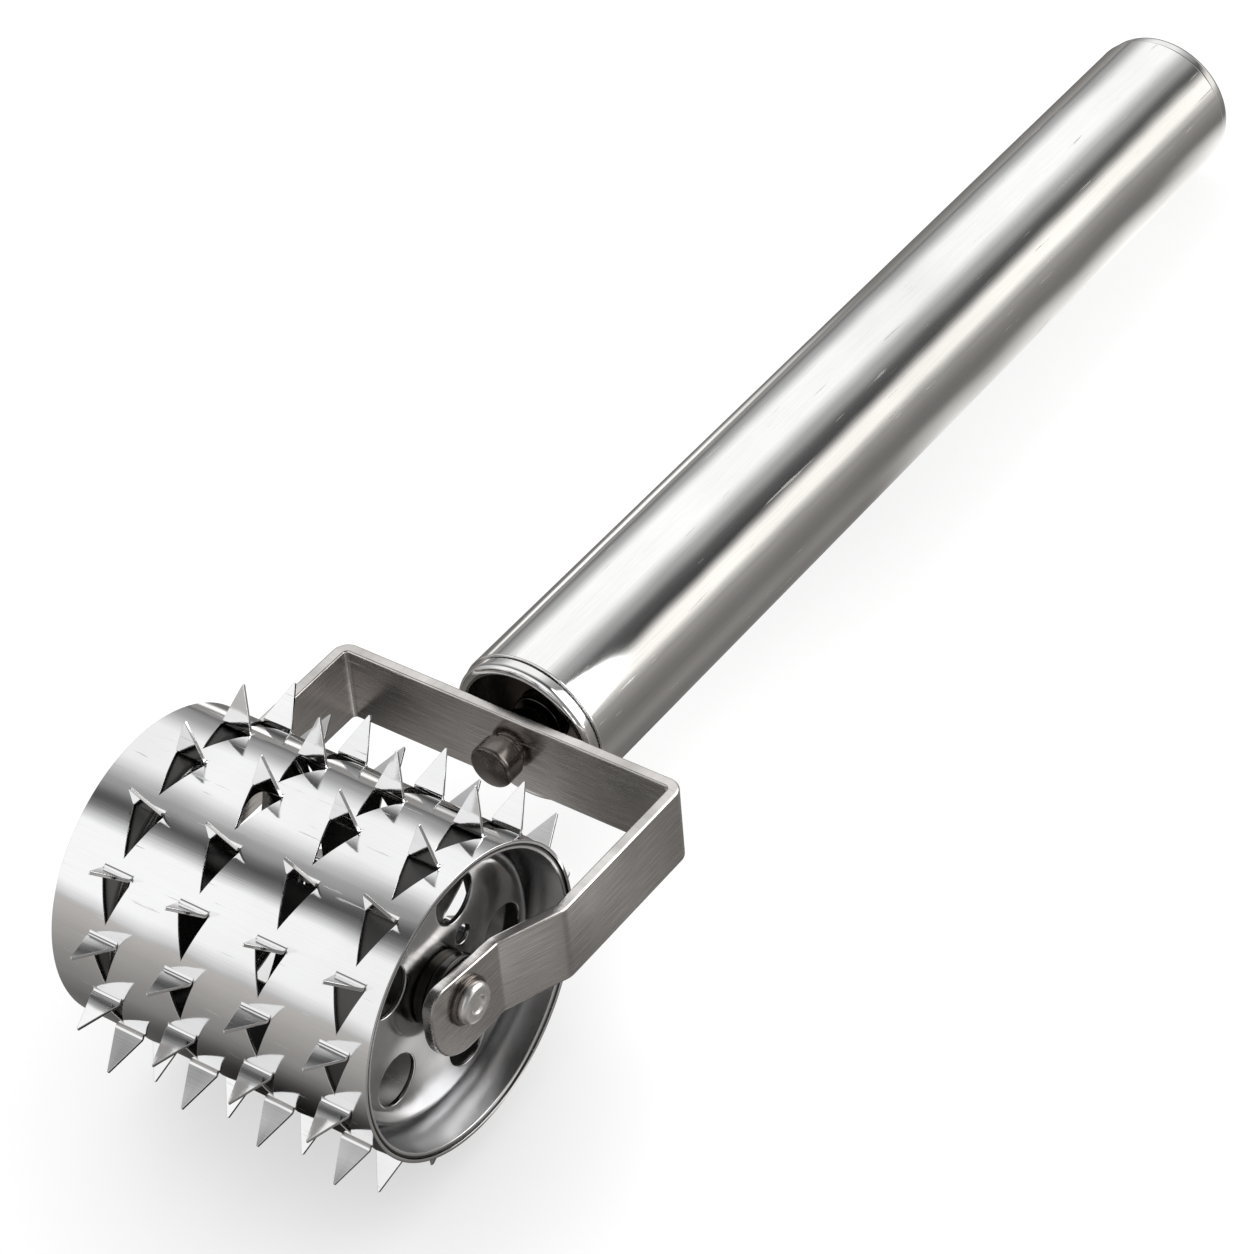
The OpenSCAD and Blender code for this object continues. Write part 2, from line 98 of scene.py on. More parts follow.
# %% [markdown]
# ## Helpers for turned pieces
#
# Most small pieces are turned: a section is drawn on one side of an axis and spun round it. The
# section is drawn with sharp corners, and each corner ring is then rounded by its own radius
# with the bevel operator, as a fillet is cut on a lathe. This keeps the section readable and
# makes true arcs.

# %% Spin a section and round its rings
def spin_section(points, steps, closed=True):
    """A closed ring, a solid where (radius, height) points lie on the axis, or an open skin."""
    bm = bmesh.new()
    verts = [bm.verts.new((r, 0, z)) for r, z in points]
    edges = [bm.edges.new((a, b)) for a, b in zip(verts, verts[1:])]
    if closed and all(r > 0 for r, _ in points):
        edges.append(bm.edges.new((verts[-1], verts[0])))
    bmesh.ops.spin(bm, geom=verts + edges, cent=(0, 0, 0), axis=(0, 0, 1), dvec=(0, 0, 0),
                   angle=2 * pi, steps=steps, use_merge=True, use_duplicate=False)
    bmesh.ops.remove_doubles(bm, verts=bm.verts, dist=1e-4)
    bmesh.ops.recalc_face_normals(bm, faces=bm.faces)
    return bm


def soften(bm, edges, amount, segments):
    """Rounds sharp edges, as a fillet is cut or a corner is tumbled."""
    bmesh.ops.bevel(bm, geom=edges, offset=amount, offset_type="OFFSET", affect="EDGES",
                    segments=segments, profile=0.5, material=-1, clamp_overlap=False)


def round_ring(bm, radius, height, amount, segments):
    """Rounds the sharp ring at one radius and height."""
    def on_ring(v):
        return abs(hypot(v.co.x, v.co.y) - radius) < 1e-3 and abs(v.co.z - height) < 1e-3
    soften(bm, [e for e in bm.edges if on_ring(e.verts[0]) and on_ring(e.verts[1])], amount, segments)


def turned(section, steps=72):
    """Spins a section of (radius, height, rounding) corners."""
    bm = spin_section([(r, z) for r, z, _ in section], steps)
    for r, z, amount in section:
        if amount and r > 0:
            round_ring(bm, r, z, amount, 6 if amount > 0.5 else 3)
    return bm


def ring_of(inner_r, outer_r, length, inner_round, outer_round, back_round=None, steps=72):
    """A plain ring that starts at zero, such as a washer or a tube."""
    return turned([(inner_r, 0, inner_round), (outer_r, 0, outer_round),
                   (outer_r, length, back_round or outer_round), (inner_r, length, inner_round)], steps)


print("a ring with four rounded corners has", len(ring_of(1, 2, 1, 0.1, 0.2).faces), "faces")


# %% [markdown]
# ## Finishing a piece
#
# Every piece ends the same way. It is moved to its place inside its own mesh, so that its object
# stays at the origin, its faces are turned outwards and shaded smooth, and a Weighted Normal
# modifier lets the large faces rule the shading, which keeps flat metal flat and rolled metal
# round. Then it is tied to the body it moves with, and the CAD node it stands for is hidden. Pieces
# that are turned round the axle, or round the line of the handle, need only their place along it.

# %% Finish, place and tie a piece
MADE = []


def all_of(bm):
    return bm.verts[:] + bm.edges[:] + bm.faces[:]


def finish(bm, name, place, body, slot, nodes, sharp=40):
    """Puts a mesh in its place, shades it smooth, ties it to its body, and hides its CAD nodes."""
    bmesh.ops.transform(bm, matrix=place, verts=bm.verts)
    bmesh.ops.recalc_face_normals(bm, faces=bm.faces)
    mesh = bpy.data.meshes.new(name)
    bm.to_mesh(mesh)
    bm.free()
    mesh.shade_smooth()
    mesh.set_sharp_from_angle(angle=radians(sharp))
    piece = bpy.data.objects.new(name, mesh)
    bpy.context.scene.collection.objects.link(piece)
    even = piece.modifiers.new("large_faces_rule", "WEIGHTED_NORMAL")
    even.weight = 100
    even.keep_sharp = True
    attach(piece, body)
    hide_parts(*nodes)
    MADE.append((piece, slot))
    print(f"{name}: {len(mesh.polygons)} faces")
    return piece


def on_axle(bm, name, x, slot, cad_node, flip=Matrix.Identity(4)):
    finish(bm, name, ON_YOKE @ flip @ Matrix.Translation((x, 0, 0)) @ ROUND_X, "handle_frame", slot, [cad_node])


def on_handle(bm, name, y, slot, cad_node):
    finish(bm, name, ON_HANDLE @ Matrix.Translation((0, 0, y)), "handle_frame", slot, [cad_node])


# %% [markdown]
# Sheet metal is drawn as one skin along the middle of the sheet. Solidify gives it its two
# sides, and a Bevel takes the sharpness off its cut edges, which is where sheared and pierced
# sheet catches the light. The shading is then set again for the faces that this adds.

# %% Give a skin its thickness and its cut edge
def thicken(piece, thickness, edge_name, edge_width, segments, even_offset):
    """Gives a one-sided skin both its sides, and rounds its cut edges."""
    piece.modifiers.remove(piece.modifiers["large_faces_rule"])
    thick = piece.modifiers.new("sheet_thickness", "SOLIDIFY")
    thick.thickness = thickness * MM
    thick.offset = 0
    thick.use_even_offset = even_offset
    edge = piece.modifiers.new(edge_name, "BEVEL")
    edge.width = edge_width * MM
    edge.segments = segments
    edge.limit_method = "ANGLE"
    edge.angle_limit = radians(50)
    edge.use_clamp_overlap = False
    even = piece.modifiers.new("large_faces_rule", "WEIGHTED_NORMAL")
    even.weight = 100
    even.keep_sharp = False
    print(piece.name, "is", thickness, "mm thick")


# %% [markdown]
# ## The toothed sheet
#
# On the real drum the teeth aren't added: each is sheared on two sides out of a flat strip and
# folded up, which leaves a window in front of it, and the strip is then rolled into a drum. The
# mesh is made in the same order. One row is a flat sheet. Planes cut it along the folds and the
# window sides, the window faces are deleted, the sheet is rolled, the fold edges are spun up
# through a quarter turn and drawn out to points. The row is then repeated round the drum, and a
# Solidify modifier gives the sheet its thickness.

# %% Flat row with its windows
MID_R = DRUM_R - SHEET / 2
ROW_STEP = 2 * pi / ROWS
FOLD_S = FOLD_R + SHEET / 2
ROOT_S = -SHEET / 2
POINT_S = -MID_R * (TOOTH_H + FOLD_R) / DRUM_R
TOOTH_PITCH = (DRUM_LEN - LEFT_BAND - RIGHT_BAND - TOOTH_BASE) / (TEETH - 1)
TOOTH_X = [-DRUM_LEN / 2 + LEFT_BAND + TOOTH_BASE / 2 + i * TOOTH_PITCH for i in range(TEETH)]
HALF = TOOTH_BASE / 2
ROW_LEN = MID_R * ROW_STEP
AHEAD_OF_FOLD = 0.5
ROW_FRONT = FOLD_S + AHEAD_OF_FOLD
WINDOW_CUTS = 9


def cut(bm, faces, co, no):
    """Cuts faces along a plane, and keeps both sides. Each edge and point is named once, in order."""
    geom = dict.fromkeys([*faces, *(e for f in faces for e in f.edges), *(v for f in faces for v in f.verts)])
    bmesh.ops.bisect_plane(bm, geom=list(geom), dist=1e-5, plane_co=co, plane_no=no)


def flat_row():
    """One row of the sheet, flat, cut along its folds and along the sides of its windows."""
    bm = bmesh.new()
    bmesh.ops.create_grid(bm, x_segments=1, y_segments=1, size=0.5)
    bmesh.ops.scale(bm, vec=(DRUM_LEN, ROW_LEN, 1), verts=bm.verts)
    bmesh.ops.translate(bm, vec=(0, ROW_FRONT - ROW_LEN / 2, 0), verts=bm.verts)
    lines = [FOLD_S, (FOLD_S + ROOT_S) / 2]
    lines += [ROOT_S + (POINT_S - ROOT_S) * i / WINDOW_CUTS for i in range(WINDOW_CUTS + 1)]
    lines += [(POINT_S + ROW_FRONT - ROW_LEN) / 2]
    for s in lines:
        cut(bm, bm.faces[:], (0, s, 0), (0, 1, 0))
    for x in TOOTH_X:
        for side in (-HALF, 0, HALF):
            cut(bm, bm.faces[:], (x + side, 0, 0), (1, 0, 0))
    for x in TOOTH_X:
        for side in (-1, 1):
            inside = [f for f in bm.faces
                      if 0 < side * (f.calc_center_median().x - x) < HALF
                      and POINT_S < f.calc_center_median().y < ROOT_S]
            cut(bm, inside, (x, POINT_S, 0), (ROOT_S - POINT_S, -side * HALF, 0))
    return bm


def in_window(face):
    """Tells whether a face lies where a tooth comes out of the sheet."""
    c = face.calc_center_median()
    x = min((c.x - t for t in TOOTH_X), key=abs)
    if ROOT_S < c.y < FOLD_S:
        return abs(x) < HALF
    return POINT_S < c.y <= ROOT_S and abs(x) < HALF * (c.y - POINT_S) / (ROOT_S - POINT_S)


row = flat_row()
gone = [f for f in row.faces if in_window(f)]
print("row:", len(row.faces), "faces,", len(gone), "of them in windows")
bmesh.ops.delete(row, geom=gone, context="FACES")

# %% [markdown]
# Rolling moves every point of the flat row onto the drum: the distance along the sheet becomes
# an angle. The fold is a quarter turn of the window's rear edge round a line above the sheet,
# which the spin operator makes in small steps. The leaf then tapers to its point, and is made a
# little narrower than its window, as it is once the shear has passed between the two.

# %% Roll the row, fold the teeth up and draw their points
FOLD_STEPS = 6
TIP_HALF = 0.12
LEAF_FIT = 0.96
for v in row.verts:
    turn = v.co.y / MID_R
    v.co = Vector((v.co.x, MID_R * sin(turn), MID_R * cos(turn)))
fold_y = MID_R * sin(FOLD_S / MID_R)
fold_z = MID_R * cos(FOLD_S / MID_R)
fold_centre = (0, fold_y, fold_z + FOLD_S)
for x in TOOTH_X:
    edge = [e for e in row.edges if all(abs(v.co.y - fold_y) < 1e-4 and abs(v.co.x - x) < HALF + 1e-4
                                        for v in e.verts)]
    spun = bmesh.ops.spin(row, geom=edge, cent=fold_centre, axis=(1, 0, 0), dvec=(0, 0, 0), angle=-pi / 2,
                          steps=FOLD_STEPS, use_merge=False, use_duplicate=False)
    last = [g for g in spun["geom_last"] if isinstance(g, bmesh.types.BMEdge)]
    new = bmesh.ops.extrude_edge_only(row, edges=last)["geom"]
    tip = [g for g in new if isinstance(g, bmesh.types.BMVert)]
    for v in tip:
        v.co.z = DRUM_R + TOOTH_H
        v.co.x = x + (v.co.x - x) / HALF * TIP_HALF
for v in row.verts:
    radius = hypot(v.co.y, v.co.z)
    if radius > DRUM_R - 0.02 and abs(v.co.z - DRUM_R - TOOTH_H) > 1e-3:
        near = min(TOOTH_X, key=lambda t: abs(v.co.x - t))
        v.co.x = near + (v.co.x - near) * LEAF_FIT
print("row with teeth:", len(row.faces), "faces")

# %% [markdown]
# The spin operator also repeats: with duplicates on, it copies the row at every step. The rows
# are then welded where they meet, so that the drum is one sheet with no seam.

# %% Repeat the row round the drum
bmesh.ops.spin(row, geom=all_of(row), cent=(0, 0, 0), axis=(1, 0, 0), dvec=(0, 0, 0),
               angle=-2 * pi + ROW_STEP, steps=ROWS - 1, use_merge=False, use_duplicate=True)
bmesh.ops.rotate(row, cent=(0, 0, 0), matrix=Matrix.Rotation(FIRST_ROW_TURN, 3, "X"), verts=row.verts)
bmesh.ops.remove_doubles(row, verts=row.verts, dist=2e-3)
print("sheet:", len(row.faces), "faces,", sum(e.is_boundary for e in row.edges), "cut edges")
drum_sheet = finish(row, "drum_sheet", ON_DRUM, "drum", "drum_steel", ["drum_shell"], sharp=180)
thicken(drum_sheet, SHEET, "sheared_edge", 0.08, 2, True)

# %% [markdown]
# ## The end discs
#
# Each disc is pressed from sheet: a flat face with five round windows and a small hole, a rounded
# shoulder, a narrow groove and a flange that lies against the drum's wall. The face is filled
# between its outer circle and the circles of the holes, and the rest is spun from a section. All
# of it is drawn along the middle of the sheet, with the outer face at zero and the inside upwards.

# %% Pressed end discs
DISC_T = 1.0
DISC_FACE = 26.5
FLANGE_R = DRUM_R - SHEET - 0.05
WALL_R, GROOVE_DROP, SHOULDER_R = 25.25, 1.0, 3.5
FLANGE_EDGE = 0.25 - (DRUM_LEN / 2 - DISC_FACE)
HOLES, HOLE_D, HOLE_CIRCLE = 5, 9.5, 16.5
PIP_D, PIP_CIRCLE = 3.6, 9.5
COLLAR_R, COLLAR_DEPTH = 5.05, 4.0
RING_STEPS = 120
FLANGE_MID, WALL_MID, SHOULDER_MID = FLANGE_R - DISC_T / 2, WALL_R - DISC_T / 2, SHOULDER_R - DISC_T / 2
FLAT_R = WALL_MID - SHOULDER_MID
HUB_RING = COLLAR_R + 2


def disc_face():
    """The flat face, with its windows and its small hole."""
    bm = bmesh.new()
    circles = [(0, FLAT_R, 0, RING_STEPS), (0, HUB_RING, 0, RING_STEPS), (PIP_CIRCLE, PIP_D / 2, ROW_STEP, 24)]
    circles += [(HOLE_CIRCLE, HOLE_D / 2, 2 * pi * i / HOLES, 48) for i in range(HOLES)]
    for reach, radius, turn, steps in circles:
        centre = Matrix.Translation((reach * cos(turn), reach * sin(turn), DISC_T / 2))
        bmesh.ops.create_circle(bm, cap_ends=False, radius=radius, segments=steps, matrix=centre)
    bmesh.ops.triangle_fill(bm, use_beauty=True, use_dissolve=False, edges=bm.edges[:])
    bmesh.ops.recalc_face_normals(bm, faces=bm.faces)
    return bm


def disc_rest():
    """The shoulder, groove and flange outside the face, and the collar inside it."""
    half = (FLANGE_MID - WALL_MID) / 2
    floor = SHOULDER_R + GROOVE_DROP + half
    outer = spin_section([(FLAT_R, DISC_T / 2), (WALL_MID, DISC_T / 2), (WALL_MID, floor),
                          (FLANGE_MID, floor), (FLANGE_MID, FLANGE_EDGE)], RING_STEPS, closed=False)
    round_ring(outer, WALL_MID, DISC_T / 2, SHOULDER_MID, 8)
    for radius in (WALL_MID, FLANGE_MID):
        round_ring(outer, radius, floor, half * 0.98, 5)
    inner = spin_section([(HUB_RING, DISC_T / 2), (COLLAR_R + DISC_T / 2, DISC_T / 2),
                          (COLLAR_R + DISC_T / 2, COLLAR_DEPTH)], RING_STEPS, closed=False)
    round_ring(inner, COLLAR_R + DISC_T / 2, DISC_T / 2, 0.8, 4)
    return outer, inner


def add_to(bm, other):
    """Joins a second mesh to the first, and empties it."""
    mesh = bpy.data.meshes.new("joined")
    other.to_mesh(mesh)
    other.free()
    bm.from_mesh(mesh)
    bpy.data.meshes.remove(mesh)


for side, flip in (("right", Matrix.Identity(4)), ("left", FLIP_X)):
    face = disc_face()
    for part in disc_rest():
        add_to(face, part)
    bmesh.ops.remove_doubles(face, verts=face.verts, dist=2e-3)
    turn = Matrix.Rotation(-ROW_STEP, 4, "X") @ Matrix.Rotation(radians(-90), 4, "Y")
    place = ON_DRUM @ flip @ Matrix.Translation((DISC_FACE, 0, 0)) @ turn
    disc = finish(face, f"pressed_disc_{side}", place, "drum", "disc_steel", [f"end_disc_{side}"],
                  sharp=180)
    thicken(disc, DISC_T, "pierced_edge", 0.22, 3, False)

# %% [markdown]
# ## The yoke
#
# The yoke is one flat strip, bent five times. The mesh follows the same path: a rectangular
# section is extruded along each straight and spun round the centre of each bend. The right half
# is made from the middle of the cross piece, and the left half is its mirror image. The long
# edges get the small rounding of a tumbled strip, which shows as the bright line along its top.

# %% Bend the strip
def moved_on(bm, faces, step):
    """Draws the section along a straight, and returns its new end."""
    new = bmesh.ops.extrude_face_region(bm, geom=faces)["geom"]
    bmesh.ops.translate(bm, vec=step, verts=[g for g in new if isinstance(g, bmesh.types.BMVert)])
    bmesh.ops.delete(bm, geom=faces, context="FACES_ONLY")
    return [g for g in new if isinstance(g, bmesh.types.BMFace)]


def bent_on(bm, faces, centre, angle, steps):
    """Turns the section round the centre of a bend, and returns its new end."""
    spun = bmesh.ops.spin(bm, geom=faces, cent=centre, axis=(0, 0, 1), dvec=(0, 0, 0), angle=angle,
                          steps=steps, use_merge=False, use_duplicate=False)
    bmesh.ops.delete(bm, geom=faces, context="FACES_ONLY")
    return [g for g in spun["geom_last"] if isinstance(g, bmesh.types.BMFace)]


joggle_turn = atan2(ARM_OUT - HUB_OUT, JOGGLE_START - JOGGLE_END)
back_1 = (JOGGLE_R + STRIP_T) * tan(joggle_turn / 2)
back_2 = JOGGLE_R * tan(joggle_turn / 2)
joggle_run = hypot(ARM_OUT - HUB_OUT, JOGGLE_START - JOGGLE_END) - back_1 - back_2
corner_c = Vector((ARM_OUT - STRIP_T - CORNER_R, WEB_OUT - STRIP_T - CORNER_R, 0))

strip = bmesh.new()
bmesh.ops.create_grid(strip, x_segments=1, y_segments=1, size=0.5)
bmesh.ops.scale(strip, vec=(STRIP_W, STRIP_T, 1), verts=strip.verts)
bmesh.ops.rotate(strip, cent=(0, 0, 0), matrix=Matrix.Rotation(radians(90), 3, "Y"), verts=strip.verts)
bmesh.ops.translate(strip, vec=(0, WEB_OUT - STRIP_T / 2, -AXLE_RISE), verts=strip.verts)
end = moved_on(strip, strip.faces[:], (corner_c.x, 0, 0))
end = bent_on(strip, end, corner_c, -pi / 2, 8)
end = moved_on(strip, end, (0, JOGGLE_START + back_1 - corner_c.y, 0))
centre = Vector((ARM_OUT - STRIP_T - JOGGLE_R, JOGGLE_START + back_1, 0))
end = bent_on(strip, end, centre, -joggle_turn, 4)
way = Vector((-sin(joggle_turn), -cos(joggle_turn), 0))
end = moved_on(strip, end, way * joggle_run)
centre = Vector((HUB_OUT + JOGGLE_R, JOGGLE_END - back_2, 0))
end = bent_on(strip, end, centre, joggle_turn, 4)
end = moved_on(strip, end, (0, -HUB_REACH - (JOGGLE_END - back_2), 0))
print("strip end at", [round(c, 2) for c in end[0].calc_center_median()])

# %% [markdown]
# The end is still square. Its upper corner is pulled up, and the two corners are rounded by
# different amounts, as on the real arm. Then the half is mirrored, and only what is still sharp
# is softened.

# %% Round the hub, mirror the half and round the long edges
TUMBLED = 0.45
hub_edges = sorted((e for e in end[0].edges if abs(e.verts[0].co.z - e.verts[1].co.z) < 1e-4),
                   key=lambda e: e.verts[0].co.z)
for v in hub_edges[1].verts:
    v.co.z += HUB_RISE
for hub_edge, rounding in zip(hub_edges, (HUB_LOWER_R, HUB_UPPER_R)):
    soften(strip, [hub_edge], rounding, 16)
bmesh.ops.mirror(strip, geom=all_of(strip), matrix=Matrix.Identity(4), merge_dist=1e-3, axis="X")
middle = [f for f in strip.faces if all(abs(v.co.x) < 1e-4 for v in f.verts)]
bmesh.ops.delete(strip, geom=middle, context="FACES_ONLY")
bmesh.ops.remove_doubles(strip, verts=strip.verts, dist=1e-3)
bmesh.ops.recalc_face_normals(strip, faces=strip.faces)
long_edges = [e for e in strip.edges if len(e.link_faces) == 2 and e.calc_face_angle() > radians(60)]
soften(strip, long_edges, TUMBLED, 4)
finish(strip, "yoke_strip", ON_YOKE, "handle_frame", "yoke_steel", ["yoke"])

# %% [markdown]
# ## The axle, its heads, washers and spacers
#
# The axle's right end is a domed head with a shallow dimple. The left end carries a pressed cap
# of the same shape. A dark washer lies under each head, and a dark spacer keeps each arm away
# from the drum's bush.

# %% Axle, cap, washers and spacers
CLEARANCE = 0.05
AXLE_R, AXLE_PAST_CAP = 3.0, 0.8
AXLE_BORE = AXLE_R + CLEARANCE
HEAD_R, HEAD_T, HEAD_ROUND = 3.8, 1.6, 1.0
DIMPLE_R, DIMPLE_DEPTH, CAP_BORE_DEPTH = 1.8, 0.5, 0.85
WASHER_R, WASHER_T = 4.5, 0.8
HEAD_X = HUB_OUT + WASHER_T
AXLE_END = -2 * HEAD_X - AXLE_PAST_CAP
SPACER_R, SPACER_X = 7.0, 27.6
SPACER_LEN = HUB_OUT - STRIP_T - SPACER_X

head = [(HEAD_R, 0, 0.15), (HEAD_R, HEAD_T, HEAD_ROUND), (DIMPLE_R, HEAD_T, 0.2),
        (DIMPLE_R - 0.5, HEAD_T - DIMPLE_DEPTH, 0.3), (0, HEAD_T - DIMPLE_DEPTH, 0)]
on_axle(turned([(0, AXLE_END, 0), (AXLE_R, AXLE_END, 0.3), (AXLE_R, 0, 0)] + head),
        "axle_and_head", HEAD_X, "axle_steel", "axle")
on_axle(turned([(0, CAP_BORE_DEPTH, 0), (AXLE_BORE, CAP_BORE_DEPTH, 0), (AXLE_BORE, 0, 0.1)] + head),
        "axle_end_cap", HEAD_X, "axle_steel", "axle_cap", FLIP_X)
washers = ring_of(AXLE_BORE, WASHER_R, WASHER_T, 0.05, 0.2, 0.3)
bmesh.ops.transform(washers, matrix=Matrix.Translation((HUB_OUT, 0, 0)) @ ROUND_X, verts=washers.verts)
bmesh.ops.mirror(washers, geom=all_of(washers), matrix=Matrix.Identity(4), merge_dist=0, axis="X")
finish(washers, "axle_head_washers", ON_YOKE, "handle_frame", "dark_steel", ["axle_washers"])
for side, flip in (("right", Matrix.Identity(4)), ("left", FLIP_X)):
    spacer = ring_of(AXLE_BORE, SPACER_R, SPACER_LEN, 0.1, 0.35)
    on_axle(spacer, f"dark_spacer_{side}", SPACER_X, "dark_steel", f"spacer_{side}", flip)

# %% [markdown]
# ## The fixing screw and what is on it
#
# The screw comes through the cross piece from the drum's side. Its head is a short cylinder with
# a low dome and a thin bright rim, over a smaller collar. Behind the cross piece are a split
# spring washer and a hexagon nut, and the shank goes on into the handle.

# %% Screw, collar, spring washer and nut
SCREW_R, SCREW_HEAD_R, SCREW_HEAD_LEN, SCREW_DOME = 2.5, 4.3, 4.6, 0.7
SCREW_BORE = SCREW_R + CLEARANCE
COLLAR_T, COLLAR_D = 1.2, 7.0
WASHER_SPLIT, SPRING_T, NUT_W, NUT_T = 0.7, 1.2, 8.0, 4.0
RECESS, FLOOR_T, INSERT_LEN = 6.3, 1.5, 16.0
FLOOR_Y = RING_Y + RECESS
SCREW_Y = WEB_IN - COLLAR_T
SCREW_LEN = FLOOR_Y + FLOOR_T + INSERT_LEN - SCREW_Y

front = -SCREW_HEAD_LEN
screw = turned([(0, front, 0), (SCREW_HEAD_R * 0.5, front + 0.18, 1.5), (SCREW_HEAD_R - 0.35, front + 0.5, 0.3),
                (SCREW_HEAD_R, front + SCREW_DOME + 0.3, 0.35), (SCREW_HEAD_R, 0, 0.3), (SCREW_R, 0, 0.1),
                (SCREW_R, SCREW_LEN, 0.4), (0, SCREW_LEN, 0)])
on_handle(screw, "fixing_screw_turned", SCREW_Y, "dark_steel", "fixing_screw")
collar = ring_of(SCREW_BORE, COLLAR_D / 2, COLLAR_T, 0.05, 0.15)
on_handle(collar, "screw_head_collar", SCREW_Y, "dark_steel", "screw_collar")

spring = ring_of(SCREW_BORE, NUT_W / 2, SPRING_T, 0.12, 0.12)
for side in (-1, 1):
    upper = [f for f in spring.faces if f.calc_center_median().y > 0]
    cut(spring, upper, (side * WASHER_SPLIT / 2, 0, 0), (1, 0, 0))
slit = [f for f in spring.faces if f.calc_center_median().y > 0
        and abs(f.calc_center_median().x) < WASHER_SPLIT / 2]
bmesh.ops.delete(spring, geom=slit, context="FACES")
bmesh.ops.holes_fill(spring, edges=[e for e in spring.edges if e.is_boundary], sides=0)
on_handle(spring, "split_washer", WEB_OUT, "dark_steel", "spring_washer")

nut = bmesh.new()
corner_r = NUT_W / 2 / cos(pi / 6)
bmesh.ops.create_cone(nut, cap_ends=True, cap_tris=False, segments=6, radius1=corner_r, radius2=corner_r,
                      depth=NUT_T, matrix=Matrix.Translation((0, 0, NUT_T / 2)))
soften(nut, nut.edges[:], 0.25, 3)
on_handle(nut, "hexagon_nut", WEB_OUT + SPRING_T, "dark_steel", "fixing_nut")

# %% [markdown]
# ## The handle
#
# The handle is a plain steel tube. A pressed ring with a rounded lip closes its front, with its
# floor sunk behind the lip, and a domed cap closes the rear. Between ring and tube, and between
# tube and cap, the rounded edges leave the thin dark seam that shows on the real one.

# %% Tube, ring, insert and cap
LIP_DROP, SKIRT_WALL, SKIRT_LEN, SEAM = 0.4, 1.3, 14.0, 0.22
RING_LEN, CAP_LEN, CAP_DOME, LIP_ROUND = 2.8, 2.8, 1.0, 1.2
NOSE, INSERT_R = 2.4, 5.0
INSERT_FLANGE_R, INSERT_FLANGE_T, INSERT_BODY_R = 9.0, 2.0, 6.0
BORE_R = HANDLE_R - HANDLE_WALL
SKIRT_R = BORE_R - CLEARANCE
SKIRT_IN = SKIRT_R - SKIRT_WALL
LIP_R = HANDLE_R - LIP_DROP
SHOWN, SKIRT_END, FLANGE_BACK = RING_LEN - SEAM, RING_LEN + SKIRT_LEN, FLOOR_T + INSERT_FLANGE_T
INSERT_HOLE, DOME_R, HANDLE_STEPS = INSERT_R + CLEARANCE, LIP_R - LIP_ROUND, 160

tube = ring_of(BORE_R, HANDLE_R, TUBE_END - TUBE_Y, 0.1, 0.3, steps=HANDLE_STEPS)
on_handle(tube, "handle_tube_drawn", TUBE_Y, "handle_steel", "handle_tube")
ring = turned([(SKIRT_IN, 0, 0.5), (LIP_R, 0, LIP_ROUND), (LIP_R, SHOWN, 0.25), (SKIRT_R, SHOWN, 0.05),
               (SKIRT_R, SKIRT_END, 0.2), (SKIRT_IN, SKIRT_END, 0.2), (SKIRT_IN, RECESS + FLOOR_T, 0),
               (INSERT_HOLE, RECESS + FLOOR_T, 0.1), (INSERT_HOLE, RECESS, 0.2), (SKIRT_IN, RECESS, 0)],
              HANDLE_STEPS)
on_handle(ring, "handle_front_ring", RING_Y, "ring_steel", "handle_ring")
insert = turned([(SCREW_BORE, -NOSE, 0.3), (INSERT_R, -NOSE, 0.35), (INSERT_R, FLOOR_T, 0),
                 (INSERT_FLANGE_R, FLOOR_T, 0.2), (INSERT_FLANGE_R, FLANGE_BACK, 0.2),
                 (INSERT_BODY_R, FLANGE_BACK, 0), (INSERT_BODY_R, FLOOR_T + INSERT_LEN, 0.3),
                 (SCREW_BORE, FLOOR_T + INSERT_LEN, 0.2)])
on_handle(insert, "turned_insert", FLOOR_Y, "dark_steel", "threaded_insert")
dome = [(share * DOME_R, CAP_LEN + rise, rounding)
        for share, rise, rounding in ((0.98, 0.02, 0), (0.75, 0.45, 2.0), (0.45, 0.8, 2.0))]
cap = turned([(SKIRT_IN, -SKIRT_LEN, 0.2), (SKIRT_R, -SKIRT_LEN, 0.2), (SKIRT_R, SEAM, 0.05),
              (LIP_R, SEAM, 0.25), (LIP_R, CAP_LEN, LIP_ROUND)] + dome
             + [(0.001, CAP_LEN + CAP_DOME, 0), (0.001, 0, 0), (SKIRT_IN, 0, 0)], HANDLE_STEPS)
on_handle(cap, "handle_end_cap", TUBE_END, "ring_steel", "handle_cap")

# %% [markdown]
# ## Short words for nodes
#
# A material is easier to read as a sum than as a list of nodes and links. These helpers each add
# one or two nodes and return the socket to go on with. A term is a socket or a plain number.

# %% Nodes, sums, ramps, mixed colours and distances
def node(tree, kind, links=(), **values):
    """Adds a node, sets its fields and sockets, and links (socket, source) pairs into it."""
    made = tree.nodes.new(kind)
    for key, value in values.items():
        if hasattr(made, key):
            setattr(made, key, value)
        else:
            made.inputs[key.replace("_", " ")].default_value = value
    for target, source in links:
        tree.links.new(source, made.inputs[target])
    return made


def combine(tree, kind, operation, terms):
    made = node(tree, kind, operation=operation)
    for sock, term in zip(made.inputs, terms):
        if isinstance(term, bpy.types.NodeSocket):
            tree.links.new(term, sock)
        else:
            sock.default_value = term
    return made


def math(tree, operation, *terms):
    return combine(tree, "ShaderNodeMath", operation, terms).outputs[0]


def vectors(tree, operation, *terms):
    made = combine(tree, "ShaderNodeVectorMath", operation, terms)
    return made.outputs["Value" if operation in ("LENGTH", "DISTANCE", "DOT_PRODUCT") else "Vector"]


